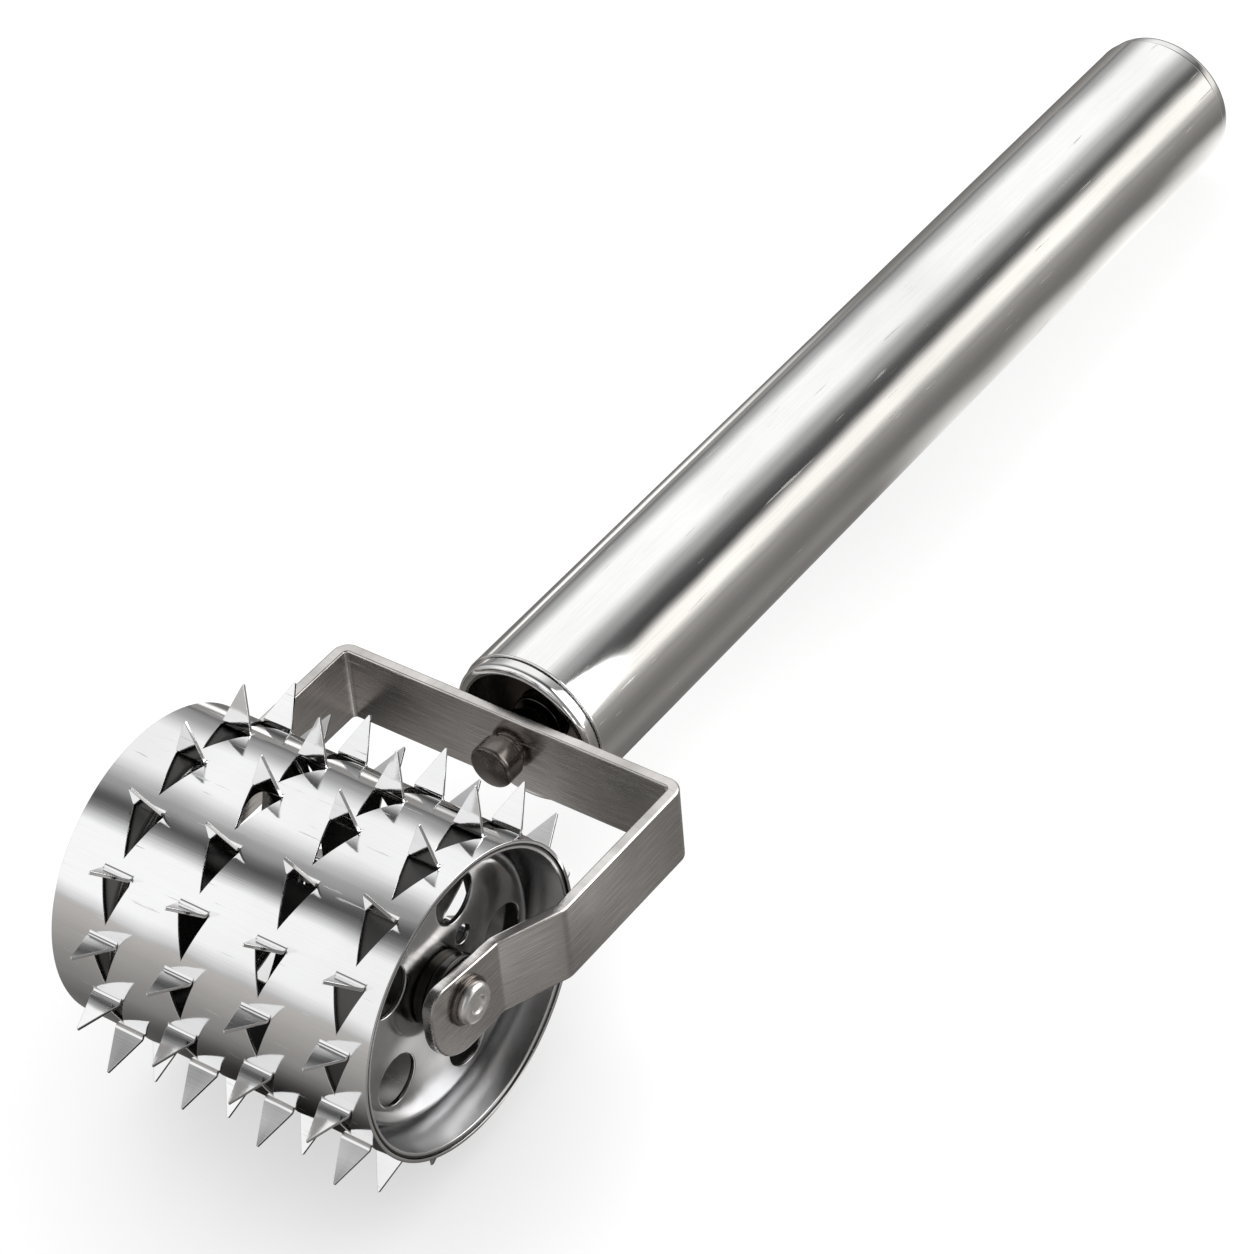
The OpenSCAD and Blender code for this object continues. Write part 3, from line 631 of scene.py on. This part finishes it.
def less(tree, value):
    """One minus a mask."""
    return math(tree, "SUBTRACT", 1, value)


def ramp_of(tree, value, low, high, start=0.0, end=1.0):
    """A value's place between low and high, given as a value between start and end."""
    return node(tree, "ShaderNodeMapRange", [("Value", value)], From_Min=low, From_Max=high,
                To_Min=start, To_Max=end).outputs[0]


def colours(tree, mask, first, second):
    """The first colour where the mask is zero, and the second where it is one."""
    mix = node(tree, "ShaderNodeMix", [("Factor", mask)], data_type="RGBA")
    for sock, colour in zip(mix.inputs[6:8], (first, second)):
        if isinstance(colour, bpy.types.NodeSocket):
            tree.links.new(colour, sock)
        else:
            sock.default_value = (*colour, 1)
    return mix.outputs[2]


def in_mm(tree, where, turn):
    """Object coordinates in millimetres from the axle."""
    return node(tree, "ShaderNodeMapping", [("Vector", where.outputs["Object"])], vector_type="TEXTURE",
                Location=axle_at, Rotation=(turn, 0, 0), Scale=(MM, MM, MM)).outputs[0]


def length_of(tree, vector, mask):
    """Length of a vector, with the axes that the mask sets to zero left out."""
    return vectors(tree, "LENGTH", vectors(tree, "MULTIPLY", vector, mask))


def empty_material(name):
    mat = bpy.data.materials.new(name)
    mat.use_nodes = True
    mat.node_tree.nodes.clear()
    return mat


print("materials measure in units of", MM, "m, from the axle")

# %% [markdown]
# ## Shared effects
#
# Three effects are node groups. Fine lines are noise stretched along the way the metal was drawn
# or brushed. Smudges are slow noise, for the uneven polish. Scratches are a few thin bright
# lines. Each takes its own scale and puts out one mask, and the materials decide what it does.

# %% Node groups for lines, smudges and scratches
def noise_group(name, scale, detail, roughness, cut=None):
    """Stretched noise behind one mask. A cut keeps only the noise between two values."""
    group = bpy.data.node_groups.new(name, "ShaderNodeTree")
    for label, kind, value in (("Vector", "NodeSocketVector", None), ("Stretch", "NodeSocketVector", (1, 1, 1)),
                               ("Scale", "NodeSocketFloat", scale)):
        sock = group.interface.new_socket(name=label, in_out="INPUT", socket_type=kind)
        if value:
            sock.default_value = value
    group.interface.new_socket(name="Mask", in_out="OUTPUT", socket_type="NodeSocketFloat")
    given = group.nodes.new("NodeGroupInput").outputs
    pulled = vectors(group, "MULTIPLY", given["Vector"], given["Stretch"])
    mask = node(group, "ShaderNodeTexNoise", [("Vector", pulled), ("Scale", given["Scale"])],
                Detail=detail, Roughness=roughness).outputs["Fac"]
    if cut:
        mask = ramp_of(group, mask, *cut)
    node(group, "NodeGroupOutput", [("Mask", mask)])
    print(f"{name}: {len(group.nodes)} nodes")
    return group


FINE_LINES = noise_group("fine_lines", 1000.0, 4.0, 0.65)
SMUDGES = noise_group("smudges", 60.0, 3.0, 0.5, (0.35, 0.7))
SCRATCHES = noise_group("scratches", 400.0, 2.0, 0.5, (0.68, 0.74))

# %% [markdown]
# ## Metal finishes
#
# All the metals share one recipe: a metallic Principled shader whose roughness and bump come
# from the lines, smudges and scratches, with a base colour that is a little warm, as polished
# steel is. What changes is how rough it is, which way the lines run and how dark it is. A slow
# wave in the bump stands for sheet that isn't quite flat or round after it was rolled.

# %% One recipe for every metal
SCRATCH_DULL = 0.45
SCRATCH_STRETCH = 0.05
RELIEF = 0.2 * MM
WAVE_SCALE = 55.0


def mask_of(tree, group, vector, scale, stretch=(1, 1, 1)):
    """Places one of the shared effects."""
    return node(tree, "ShaderNodeGroup", [("Vector", vector)], node_tree=group, Scale=scale,
                Stretch=stretch).outputs["Mask"]


def metal(name, colour, rough, spread, stretch, line_scale, bump, turn=0.0, smudge=60.0, scratch=0.0,
          dark=0.9, streak=0.1, wave=0.0, painted_light_and_shade=None, follow=None):
    """Spread, dark and streak say how far the roughness, the smudges and the lines vary."""
    mat = empty_material(name)
    tree = mat.node_tree
    where = node(tree, "ShaderNodeTexCoord")
    on_piece = where.outputs["Object"]
    along = node(tree, "ShaderNodeMapping", [("Vector", on_piece)], Rotation=(turn, 0, 0)).outputs[0]
    if follow:
        along = follow(tree, where, along)
    lines = mask_of(tree, FINE_LINES, along, line_scale, stretch)
    worn = mask_of(tree, SMUDGES, on_piece, smudge)
    rough_out = ramp_of(tree, math(tree, "ADD", lines, worn), 0.4, 1.6, rough - spread, rough + spread)
    shade = colours(tree, worn, colour, [c * dark for c in colour])
    base = vectors(tree, "MULTIPLY", shade, ramp_of(tree, lines, 0.3, 0.7, 1 - streak, 1 + streak))
    # Some pieces get painted shade, and painted light, in their colour and roughness here.
    if painted_light_and_shade:
        base, rough_out = painted_light_and_shade(tree, where, base, rough_out)
    if scratch:
        marks = mask_of(tree, SCRATCHES, along, scratch, [1 if s == 1 else SCRATCH_STRETCH for s in stretch])
        rough_out = math(tree, "MULTIPLY_ADD", marks, SCRATCH_DULL, rough_out)
    relief = node(tree, "ShaderNodeBump", [("Height", lines)], Strength=bump, Distance=RELIEF)
    if wave:
        slow = node(tree, "ShaderNodeTexNoise", [("Vector", on_piece)], Scale=WAVE_SCALE, Detail=1.0)
        relief = node(tree, "ShaderNodeBump", [("Height", slow.outputs["Fac"]), ("Normal", relief.outputs[0])],
                      Strength=1.0, Distance=wave)
    shader = node(tree, "ShaderNodeBsdfPrincipled", [("Roughness", rough_out), ("Normal", relief.outputs[0]),
                                                     ("Base Color", base)], Metallic=1.0)
    node(tree, "ShaderNodeOutputMaterial", [("Surface", shader.outputs[0])])
    return mat


# %% [markdown]
# ## Where the polish stops, and where shade is painted
#
# The outside of the drum, the discs and the handle's ring was polished after they were formed.
# The drum's bore, the back of the discs and the sunk floor of the ring lie in shade, and that
# shade is painted into their colour: they are painted dark, and made dull. Behind the right-hand
# windows the bore is given a lighter colour instead, as painted light. A piece keeps one material,
# and the distance from the axle, or from the handle's line, tells where its polish stops.

# %% The drum's bore and the back of the discs
# Painted shade: the drum's bore is coloured near-black. Painted light: behind the right windows it is coloured
# lighter.
PAINTED_SHADE, SKIN_DULL = (0.09, 0.088, 0.086), 0.42
PAINTED_WINDOW_LIGHT, PALE_DULL = (0.62, 0.61, 0.6), 0.22
PALE_FROM, PALE_TO = -3, 5
SHADE_ENDS_R, SHADE_ENDS_X = (DRUM_R - 0.4, DRUM_R - 0.1), (DRUM_LEN / 2 - 1.6, DRUM_LEN / 2 - 1.4)
# Painted shade: a dark line along the disc's groove. Painted light: the flange wall is coloured lighter.
GROOVE_LINE, GROOVE_SHADE = WALL_R - 1.3, 0.65
WALL_DULL, WALL_PAINTED_LIGHT = 0.28, 0.45


def dull_where(tree, mask, base, rough, colour, dull):
    """Swaps the polish for another colour and a duller finish where the mask is one: painted shade or painted
    light.
    """
    coarse = node(tree, "ShaderNodeMapRange", [("Value", mask), ("To Min", rough)], To_Max=dull)
    return colours(tree, mask, base, colour), coarse.outputs[0]


def painted_bore_shade(tree, where, base, rough):
    """Painted shade inside the bore, but for the last millimetres outside the discs, and painted light, a lighter
    colour, behind the right windows.
    """
    place = in_mm(tree, where, 0)
    inside = less(tree, ramp_of(tree, length_of(tree, place, (0, 1, 1)), *SHADE_ENDS_R))
    short_of_rim = less(tree, ramp_of(tree, length_of(tree, place, (1, 0, 0)), *SHADE_ENDS_X))
    mask = math(tree, "MULTIPLY", inside, short_of_rim)
    base, rough = dull_where(tree, mask, base, rough, PAINTED_SHADE, SKIN_DULL)
    # painted light: a lighter colour in the bore behind the windows on the right half
    across = node(tree, "ShaderNodeSeparateXYZ", [(0, place)]).outputs["X"]
    window_light_mask = math(tree, "MULTIPLY", mask, ramp_of(tree, across, PALE_FROM, PALE_TO))
    return dull_where(tree, window_light_mask, base, rough, PAINTED_WINDOW_LIGHT, PALE_DULL)


def painted_disc_shade(tree, where, base, rough):
    """Painted shade towards the drum, which the distance from the shoulder's centre line tells, with a
    line of painted shade in the groove, and a duller flange given a lighter colour as painted light."""
    place = in_mm(tree, where, 0)
    radius = length_of(tree, place, (0, 1, 1))
    depth = math(tree, "SUBTRACT", DISC_FACE, length_of(tree, place, (1, 0, 0)))
    out = math(tree, "MAXIMUM", math(tree, "SUBTRACT", radius, WALL_R - SHOULDER_R), 0)
    rise = math(tree, "MAXIMUM", math(tree, "SUBTRACT", SHOULDER_R, depth), 0)
    reach = math(tree, "SQRT", math(tree, "ADD", math(tree, "POWER", out, 2), math(tree, "POWER", rise, 2)))
    behind = less(tree, ramp_of(tree, reach, SHOULDER_MID - 0.1, SHOULDER_MID + 0.1))
    mask = math(tree, "MAXIMUM", behind, ramp_of(tree, radius, FLANGE_MID - 0.1, FLANGE_MID + 0.1))
    on_wall = ramp_of(tree, radius, WALL_R, WALL_R + 1)
    rough = math(tree, "MAXIMUM", rough, math(tree, "MULTIPLY", on_wall, WALL_DULL))
    # painted shade along the groove line, and painted light on the flange wall
    off_groove = math(tree, "ABSOLUTE", math(tree, "SUBTRACT", radius, GROOVE_LINE))
    groove_shade_factor = math(tree, "MULTIPLY_ADD", ramp_of(tree, off_groove, 0.15, 0.55), GROOVE_SHADE, 1 - GROOVE_SHADE)
    paler = math(tree, "MULTIPLY", math(tree, "MULTIPLY_ADD", on_wall, WALL_PAINTED_LIGHT, 1), groove_shade_factor)
    return dull_where(tree, mask, vectors(tree, "MULTIPLY", base, paler), rough, PAINTED_SHADE, SKIN_DULL)


print("the drum has no painted shade from", SHADE_ENDS_R, "mm outwards, and from", SHADE_ENDS_X, "mm to its ends")

# %% [markdown]
# The floor of the ring is measured from the handle's line, which lies a little under the axle.
# The strip of the yoke was brushed while it was flat, so its lines follow it round its bends:
# rearwards on the arms, and across on the cross piece.

# %% The ring's floor and the brushing of the strip
# Painted shade: the ring's sunk floor and the wall round it are coloured near-black.
RECESS_SHADE, RECESS_DULL = (0.10, 0.085, 0.075), 0.3


def painted_recess_shade(tree, where, base, rough):
    """Painted shade, dark and dull, on the sunk floor and on the wall round it. The lip keeps its polish."""
    from_line = vectors(tree, "ADD", in_mm(tree, where, -tilt), (0, 0, AXLE_RISE))
    lip = ramp_of(tree, length_of(tree, from_line, (1, 0, 1)), SKIRT_IN - 0.1, SKIRT_IN + 0.6)
    return dull_where(tree, less(tree, lip), base, rough, RECESS_SHADE, RECESS_DULL)


def along_strip(tree, where, along):
    """Coordinates whose Y runs along the strip, before and after its bend."""
    place = node(tree, "ShaderNodeSeparateXYZ", [(0, in_mm(tree, where, -tilt))])
    parts = node(tree, "ShaderNodeSeparateXYZ", [(0, along)])
    on_arm, on_web = (node(tree, "ShaderNodeCombineXYZ", [("Y", parts.outputs[run]), ("Z", parts.outputs["Z"])])
                      for run in "YX")
    past_bend = ramp_of(tree, place.outputs["Y"], WEB_IN - 0.3, WEB_IN - 0.1)
    return node(tree, "ShaderNodeMix", [("Factor", past_bend), (4, on_arm.outputs[0]), (5, on_web.outputs[0])],
                data_type="VECTOR").outputs[1]


print("the strip's lines turn", WEB_IN, "mm behind the axle")

# %% [markdown]
# ## The finish of each piece
#
# The drum and the tube are the brightest, with lines so fine that they only soften the mirror
# image. The discs are darker, as pressed and tumbled steel is. The strip is brushed, so its lines
# show. The screw, nut and washers are dark satin steel, and the spacers are nearly black. So are
# the bushes, whose bronze is soaked with oil.

# %% Values of every finish
ALONG_AXLE = (0.02, 1, 1)
ALONG_HANDLE = (1, 0.03, 1)
FINISH = {
    "drum_steel": metal("polished_drum_steel", (0.88, 0.88, 0.885), 0.085, 0.03, ALONG_AXLE, 3000, 0.015,
                        smudge=40, scratch=1900, streak=0.02, wave=0.0004, painted_light_and_shade=painted_bore_shade),
    "disc_steel": metal("pressed_disc_steel", (0.58, 0.58, 0.585), 0.16, 0.05, (1, 1, 1), 220, 0.02,
                        smudge=70, streak=0.04, wave=0.001, painted_light_and_shade=painted_disc_shade),
    "bronze": metal("oiled_bush_bronze", (0.045, 0.04, 0.035), 0.3, 0.08, (0.05, 1, 1), 900, 0.1),
    "dark_steel": metal("dark_satin_steel", (0.20, 0.18, 0.165), 0.22, 0.05, (1, 0.1, 1), 1500, 0.03),
    "black_spacer": metal("black_polished_steel", (0.07, 0.068, 0.066), 0.2, 0.06, (0.1, 1, 1), 1500, 0.04),
    "axle_steel": metal("polished_axle_steel", (0.93, 0.92, 0.90), 0.33, 0.05, (0.3, 1, 1), 1500, 0.02),
    "yoke_steel": metal("brushed_strip_steel", (0.70, 0.675, 0.655), 0.25, 0.07, ALONG_HANDLE, 3500, 0.07,
                        turn=tilt, smudge=28, scratch=1500, streak=0.28, dark=0.7, wave=0.0005,
                        follow=along_strip),
    "ring_steel": metal("polished_ring_steel", (0.88, 0.875, 0.87), 0.12, 0.04, (1, 1, 1), 300, 0.02,
                        streak=0.03, painted_light_and_shade=painted_recess_shade),
    "handle_steel": metal("drawn_tube_steel", (0.95, 0.945, 0.94), 0.10, 0.03, ALONG_HANDLE, 3000, 0.015,
                          turn=tilt, smudge=25, scratch=1500, streak=0.04, wave=0.00015),
}
LOOK = {name: "black_spacer" for name in ("dark_spacer_right", "dark_spacer_left", "turned_insert")}
print("finishes:", ", ".join(FINISH))

# %% Put the finishes on the new pieces and on the CAD nodes that stay
for piece, slot in MADE:
    piece.data.materials.append(FINISH[LOOK.get(piece.name, slot)])
SLOT_OF = {part["node"]: part["material_slot"] for part in frame["record"]["subparts"]}
for name in ("bush_right", "bush_left", "core_tube"):
    cad = frame["nodes"][name]
    cad.data.materials.clear()
    cad.data.materials.append(FINISH[SLOT_OF[name]])
print("finishes on", len(MADE), "new pieces")

# %% [markdown]
# ## The studio
#
# Polished metal has almost no look of its own: it shows the room. So the room is drawn in the
# world, as a photographer sets it: a large softbox behind the tool, a second one in front of the
# drum, a strip on the far right and a dark gap between them. Directions are those of the level
# yoke. Each list gives grey levels over how high a direction points, how far to the side, or how
# squarely at a softbox.

# %% Helpers for levels that depend on a direction
def levels(tree, source, low, high, stops):
    """A smooth curve of grey levels over a value between low and high."""
    ramp = node(tree, "ShaderNodeValToRGB", [("Fac", ramp_of(tree, source, low, high))])
    ramp.color_ramp.interpolation = "CARDINAL" if len(stops) > 4 else "EASE"
    marks = ramp.color_ramp.elements
    while len(marks) < len(stops):
        marks.new(0.5)
    for mark, (place, level) in zip(marks, stops):
        mark.position = (place - low) / (high - low)
        mark.color = (level, level, level, 1)
    return ramp.outputs["Color"]


def facing(tree, way, direction):
    """How squarely a direction faces a point of the room, from -1 to 1."""
    return vectors(tree, "DOT_PRODUCT", way, Vector(direction).normalized())


def tinted(tree, grey, red, blue):
    hue = node(tree, "ShaderNodeCombineXYZ", X=red, Y=1.0, Z=blue).outputs[0]
    return vectors(tree, "MULTIPLY", grey, hue)


# %% Softboxes, strip and dark gap
world = bpy.data.worlds.new("studio")
bpy.context.scene.world = world
world.use_nodes = True
world.cycles.sampling_method = "NONE"
tree = world.node_tree
tree.nodes.clear()
way = node(tree, "ShaderNodeMapping", [("Vector", node(tree, "ShaderNodeTexCoord").outputs["Generated"])],
           vector_type="VECTOR", Rotation=(tilt, 0, 0)).outputs[0]
parts = node(tree, "ShaderNodeSeparateXYZ", [(0, way)])
side, depth, height = parts.outputs["X"], parts.outputs["Y"], parts.outputs["Z"]

BACK_BOX_AT, STRIP_AT = (-0.40, 0.57, 0.72), (0.79, 0.61, 0.0)
BACK_BOX = [(0.5, 0.0), (0.573, 0.01), (0.686, 0.07), (0.734, 0.18), (0.77, 0.28), (0.843, 0.41),
            (0.90, 0.7), (0.948, 1.0), (0.975, 1.32), (1.0, 1.5)]
FRONT_RISE = [(-0.3, 0.2), (-0.12, 0.35), (0.02, 0.6), (0.2, 0.97), (0.35, 1.1), (0.5, 1.25), (0.62, 1.32),
              (0.86, 1.3), (0.98, 0.95), (1.12, 0.33), (1.25, 0.03), (1.42, 0.0)]
FRONT_SIDE = [(-0.95, 0.4), (-0.7, 1.0), (0.1, 1.0), (0.4, 0.2)]
STRIP_RISE = [(-0.2, 0.0), (-0.05, 0.1), (0.02, 0.35), (0.12, 0.6), (0.2, 1.05), (0.3, 1.35), (0.4, 0.95),
              (0.47, 0.5), (0.54, 0.05), (0.58, 0.0)]
STRIP_SIDE = [(0.55, 0.0), (0.8, 0.7), (0.93, 1.0)]
BARE_ROOM = [(-0.9, 0.2), (-0.8, 0.11), (-0.65, 0.07), (-0.45, 0.04), (0.0, 0.06), (0.5, 0.06)]

back_box = levels(tree, facing(tree, way, BACK_BOX_AT), 0.4, 1.0, BACK_BOX)
rise = math(tree, "ARCTAN2", height, math(tree, "MULTIPLY", depth, -1))
front_box = vectors(tree, "MULTIPLY", levels(tree, rise, -1.0, 1.6, FRONT_RISE),
                    levels(tree, side, -1, 1, FRONT_SIDE))
strip = tinted(tree, vectors(tree, "MULTIPLY", levels(tree, height, -0.3, 0.7, STRIP_RISE),
                             levels(tree, facing(tree, way, STRIP_AT), 0, 1, STRIP_SIDE)), 1.03, 0.95)
bare = levels(tree, side, -1, 1, BARE_ROOM)
sky = vectors(tree, "ADD", vectors(tree, "ADD", bare, strip), vectors(tree, "ADD", back_box, front_box))
print("room:", len(tree.nodes), "nodes above the table")

# %% [markdown]
# Below the horizon the metal sees the table: bright behind the drum, darker in the drum's own
# shadow in front of it. Both are drawn here as well, by how steeply a direction points down.

# %% The table as the metal sees it
REAR_LEVELS = [(-0.95, 0.15), (-0.8, 0.17), (-0.7, 0.24), (-0.6, 0.22), (-0.49, 0.18), (-0.38, 0.18),
               (-0.26, 0.21), (-0.15, 0.26), (-0.02, 0.34)]
REAR_SIDE = [(-0.85, 0.9), (-0.7, 0.95), (-0.55, 1.4), (-0.3, 1.4), (0.0, 1.0)]
FRONT_LEVELS = [(-0.95, 0.08), (-0.85, 0.14), (-0.75, 0.22), (-0.65, 0.26), (-0.5, 0.31), (-0.4, 0.36),
                (-0.25, 0.42), (-0.05, 0.50)]

table_rear = vectors(tree, "MULTIPLY", levels(tree, height, -1, 0, REAR_LEVELS),
                     levels(tree, side, -1, 1, REAR_SIDE))
table_front = levels(tree, height, -1, 0, FRONT_LEVELS)
rearward = levels(tree, depth, -1, 1, [(-0.25, 0.0), (0.15, 1.0)])
table = tinted(tree, colours(tree, rearward, table_front, table_rear), 1.04, 0.96)
above = levels(tree, height, -0.2, 0.2, [(-0.06, 0.0), (0.02, 1.0)])
room = colours(tree, above, table, sky)
print("room:", len(tree.nodes), "nodes with the table")

# %% [markdown]
# Camera rays see plain white, and diffuse surfaces get one plain level, so that only the metal
# shows the boxes. Light Path tells the kinds of ray apart.

# %% Who sees the room
WHITE = (1, 1, 1, 1)


def shown_to(tree, ray, other, chosen):
    """One shader for the rays that the mask picks, and another for the rest."""
    return node(tree, "ShaderNodeMixShader", [(0, ray), (1, other.outputs[0]), (2, chosen.outputs[0])])


ray = node(tree, "ShaderNodeLightPath").outputs
metal_ray = math(tree, "MAXIMUM", ray["Is Glossy Ray"], ray["Is Transmission Ray"])
plain_light = node(tree, "ShaderNodeBackground", Color=WHITE, Strength=1.0)
boxes = node(tree, "ShaderNodeBackground", [("Color", room)], Strength=1.0)
for_metal = shown_to(tree, metal_ray, plain_light, boxes)
for_camera = shown_to(tree, ray["Is Camera Ray"], for_metal, plain_light)
node(tree, "ShaderNodeOutputWorld", [("Surface", for_camera.outputs[0])])
print("room:", len(tree.nodes), "nodes in all")

# %% [markdown]
# ## Floor and shadow
#
# The floor is a wide pale sheet. Its own shading keeps the soft shadow, and a little of its own
# light takes the bare part up to white; near the drum that light is weaker, as a painted shadow.
# Reflections mostly pass through it, because the room already holds the table that the metal sees.
# What is near the tool changes along each piece, so it is drawn on the floor: pools of light
# beside the drum, the yoke and the handle, and the dark under the drum. Places are in millimetres
# from the axle, to the right and to the rear, and are followed by the reach of the spot and its level.

# %% Pools of light and the dark under the drum
LIT = {
    "beside the hub": (71, 9, 20, 0.3), "beside the arm": (62, 54, 19, 0.22),
    "under the left arm": (-10, 40, 20, 0.5), "at the drum's foot": (39, 11, 11, 0.9),
    "left of the handle": (-140, 200, 85, 1.4), "under the handle": (6, 190, 34, 0.6),
    "further back": (6, 225, 32, 0.7), "near its end": (6, 255, 30, 0.9), "at its end": (6, 290, 34, 1.0),
}
SHADED = {
    "under the drum": (0, -22, 60, 0.95), "by the left corner": (-55, 24, 28, 0.95),
    "behind the left corner": (-10, 84, 26, 0.8), "behind the drum's foot": (-4, 26, 26, 0.7),
}


def pool(tree, where, across, along, reach, level):
    """A soft round spot on the floor."""
    gap = vectors(tree, "DISTANCE", where, (across, along, -axle_at.z / MM))
    return node(tree, "ShaderNodeMapRange", [("Value", gap)], interpolation_type="SMOOTHSTEP",
                From_Min=reach, From_Max=0.0, To_Min=0.0, To_Max=level).outputs[0]


mat = empty_material("pale_floor")
tree = mat.node_tree
where = in_mm(tree, node(tree, "ShaderNodeTexCoord"), 0)
lit, open_table = 0.0, 1.0
for spot in LIT.values():
    lit = math(tree, "ADD", lit, pool(tree, where, *spot))
for spot in SHADED.values():
    open_table = math(tree, "MULTIPLY", open_table, less(tree, pool(tree, where, *spot)))
print("floor:", len(LIT), "lit spots and", len(SHADED), "dark ones")

# %% The floor and its shading
FLOOR_HALF, FLOOR_LIGHT = 6.0, 0.76
# Painted shadow: the floor's own light is made weaker within reach of the drum.
PAINTED_SHADOW_BY_DRUM = (10, -10, 110, 0.2)
ray = node(tree, "ShaderNodeLightPath").outputs
matte = node(tree, "ShaderNodeBsdfDiffuse", Color=(0.3, 0.3, 0.3, 1))
lift = node(tree, "ShaderNodeEmission",
            [("Strength", math(tree, "SUBTRACT", FLOOR_LIGHT, pool(tree, where, *PAINTED_SHADOW_BY_DRUM)))], Color=WHITE)
pale = node(tree, "ShaderNodeAddShader", [(0, matte.outputs[0]), (1, lift.outputs[0])])
through = node(tree, "ShaderNodeBsdfTransparent", [("Color", open_table)])
spots = node(tree, "ShaderNodeEmission", [("Strength", lit)], Color=(1, 0.99, 0.97, 1))
seen = node(tree, "ShaderNodeAddShader", [(0, through.outputs[0]), (1, spots.outputs[0])])
for_metal = shown_to(tree, ray["Is Glossy Ray"], matte, seen)
for_camera = shown_to(tree, ray["Is Camera Ray"], for_metal, pale)
node(tree, "ShaderNodeOutputMaterial", [("Surface", for_camera.outputs[0])])

floor_mesh = bmesh.new()
bmesh.ops.create_grid(floor_mesh, x_segments=1, y_segments=1, size=FLOOR_HALF)
mesh = bpy.data.meshes.new("studio_floor")
floor_mesh.to_mesh(mesh)
floor_mesh.free()
mesh.materials.append(mat)
floor = bpy.data.objects.new("studio_floor", mesh)
bpy.context.scene.collection.objects.link(floor)
print("floor:", 2 * FLOOR_HALF, "m wide,", len(tree.nodes), "nodes")

# %% [markdown]
# One wide lamp high up draws the soft shadow, and is hidden from the metal, which already has
# its softboxes. A small bright card stands beside the drum's right end. Its level is given as
# the light that comes from each part of it, and its power follows from its size.

# %% Lamp for the shadow and card for the drum's end
def lamp(name, at, aim, size, watts, shows):
    data = bpy.data.lights.new(name, "AREA")
    data.shape = "DISK"
    data.size = size
    data.energy = watts
    thing = bpy.data.objects.new(name, data)
    thing.location = at
    thing.rotation_mode = "QUATERNION"
    thing.rotation_quaternion = (Vector(aim) - Vector(at)).to_track_quat("-Z", "Y")
    thing.visible_glossy = shows
    thing.visible_camera = False
    bpy.context.scene.collection.objects.link(thing)
    print(f"{name}: {watts:.2f} W, {size} m wide")


CARD_D, CARD_LEVEL = 0.1, 2.2
CARD_AT, DRUM_END = axle_at + Vector((72, 70, 46)) * MM, axle_at + Vector((28, 5, -10)) * MM
lamp("key_lamp", (-0.8, -0.1, 1.6), (0, 0, 0), 1.2, 8, False)
lamp("end_card", CARD_AT, DRUM_END, CARD_D, CARD_LEVEL * (pi * CARD_D / 2) ** 2, True)

# %% [markdown]
# ## The camera
#
# The camera stands in front of the drum on its right, above it, with a long lens. Its place was
# found by matching the drum's two rims and the handle's edges in the photograph, in the level
# directions of the yoke.

# %% Camera
CAMERA_AT, CAMERA_LENS, SENSOR = (373.918, -384.028, 517.149), 129.17, 36
SEEN_RIGHT = Vector((0.8182431, 0.5708450, -0.0679272))
SEEN_DOWN = Vector((0.3315072, -0.5650795, -0.7555053))
SEEN_AHEAD = Vector((-0.4696607, 0.5956686, -0.6516114))

camera_data = bpy.data.cameras.new("photo_camera")
camera_data.sensor_width = SENSOR
camera_data.lens = CAMERA_LENS
camera = bpy.data.objects.new("photo_camera", camera_data)
bpy.context.scene.collection.objects.link(camera)
turn = Matrix((SEEN_RIGHT, -SEEN_DOWN, -SEEN_AHEAD)).transposed().to_4x4()
place = Matrix.Translation(axle_at) @ Matrix.Rotation(-tilt, 4, "X")
camera.matrix_world = place @ Matrix.Translation(Vector(CAMERA_AT) * MM) @ turn
bpy.context.scene.camera = camera
bpy.context.scene.view_settings.view_transform = "Standard"
print("camera at", [round(c, 3) for c in camera.matrix_world.translation])
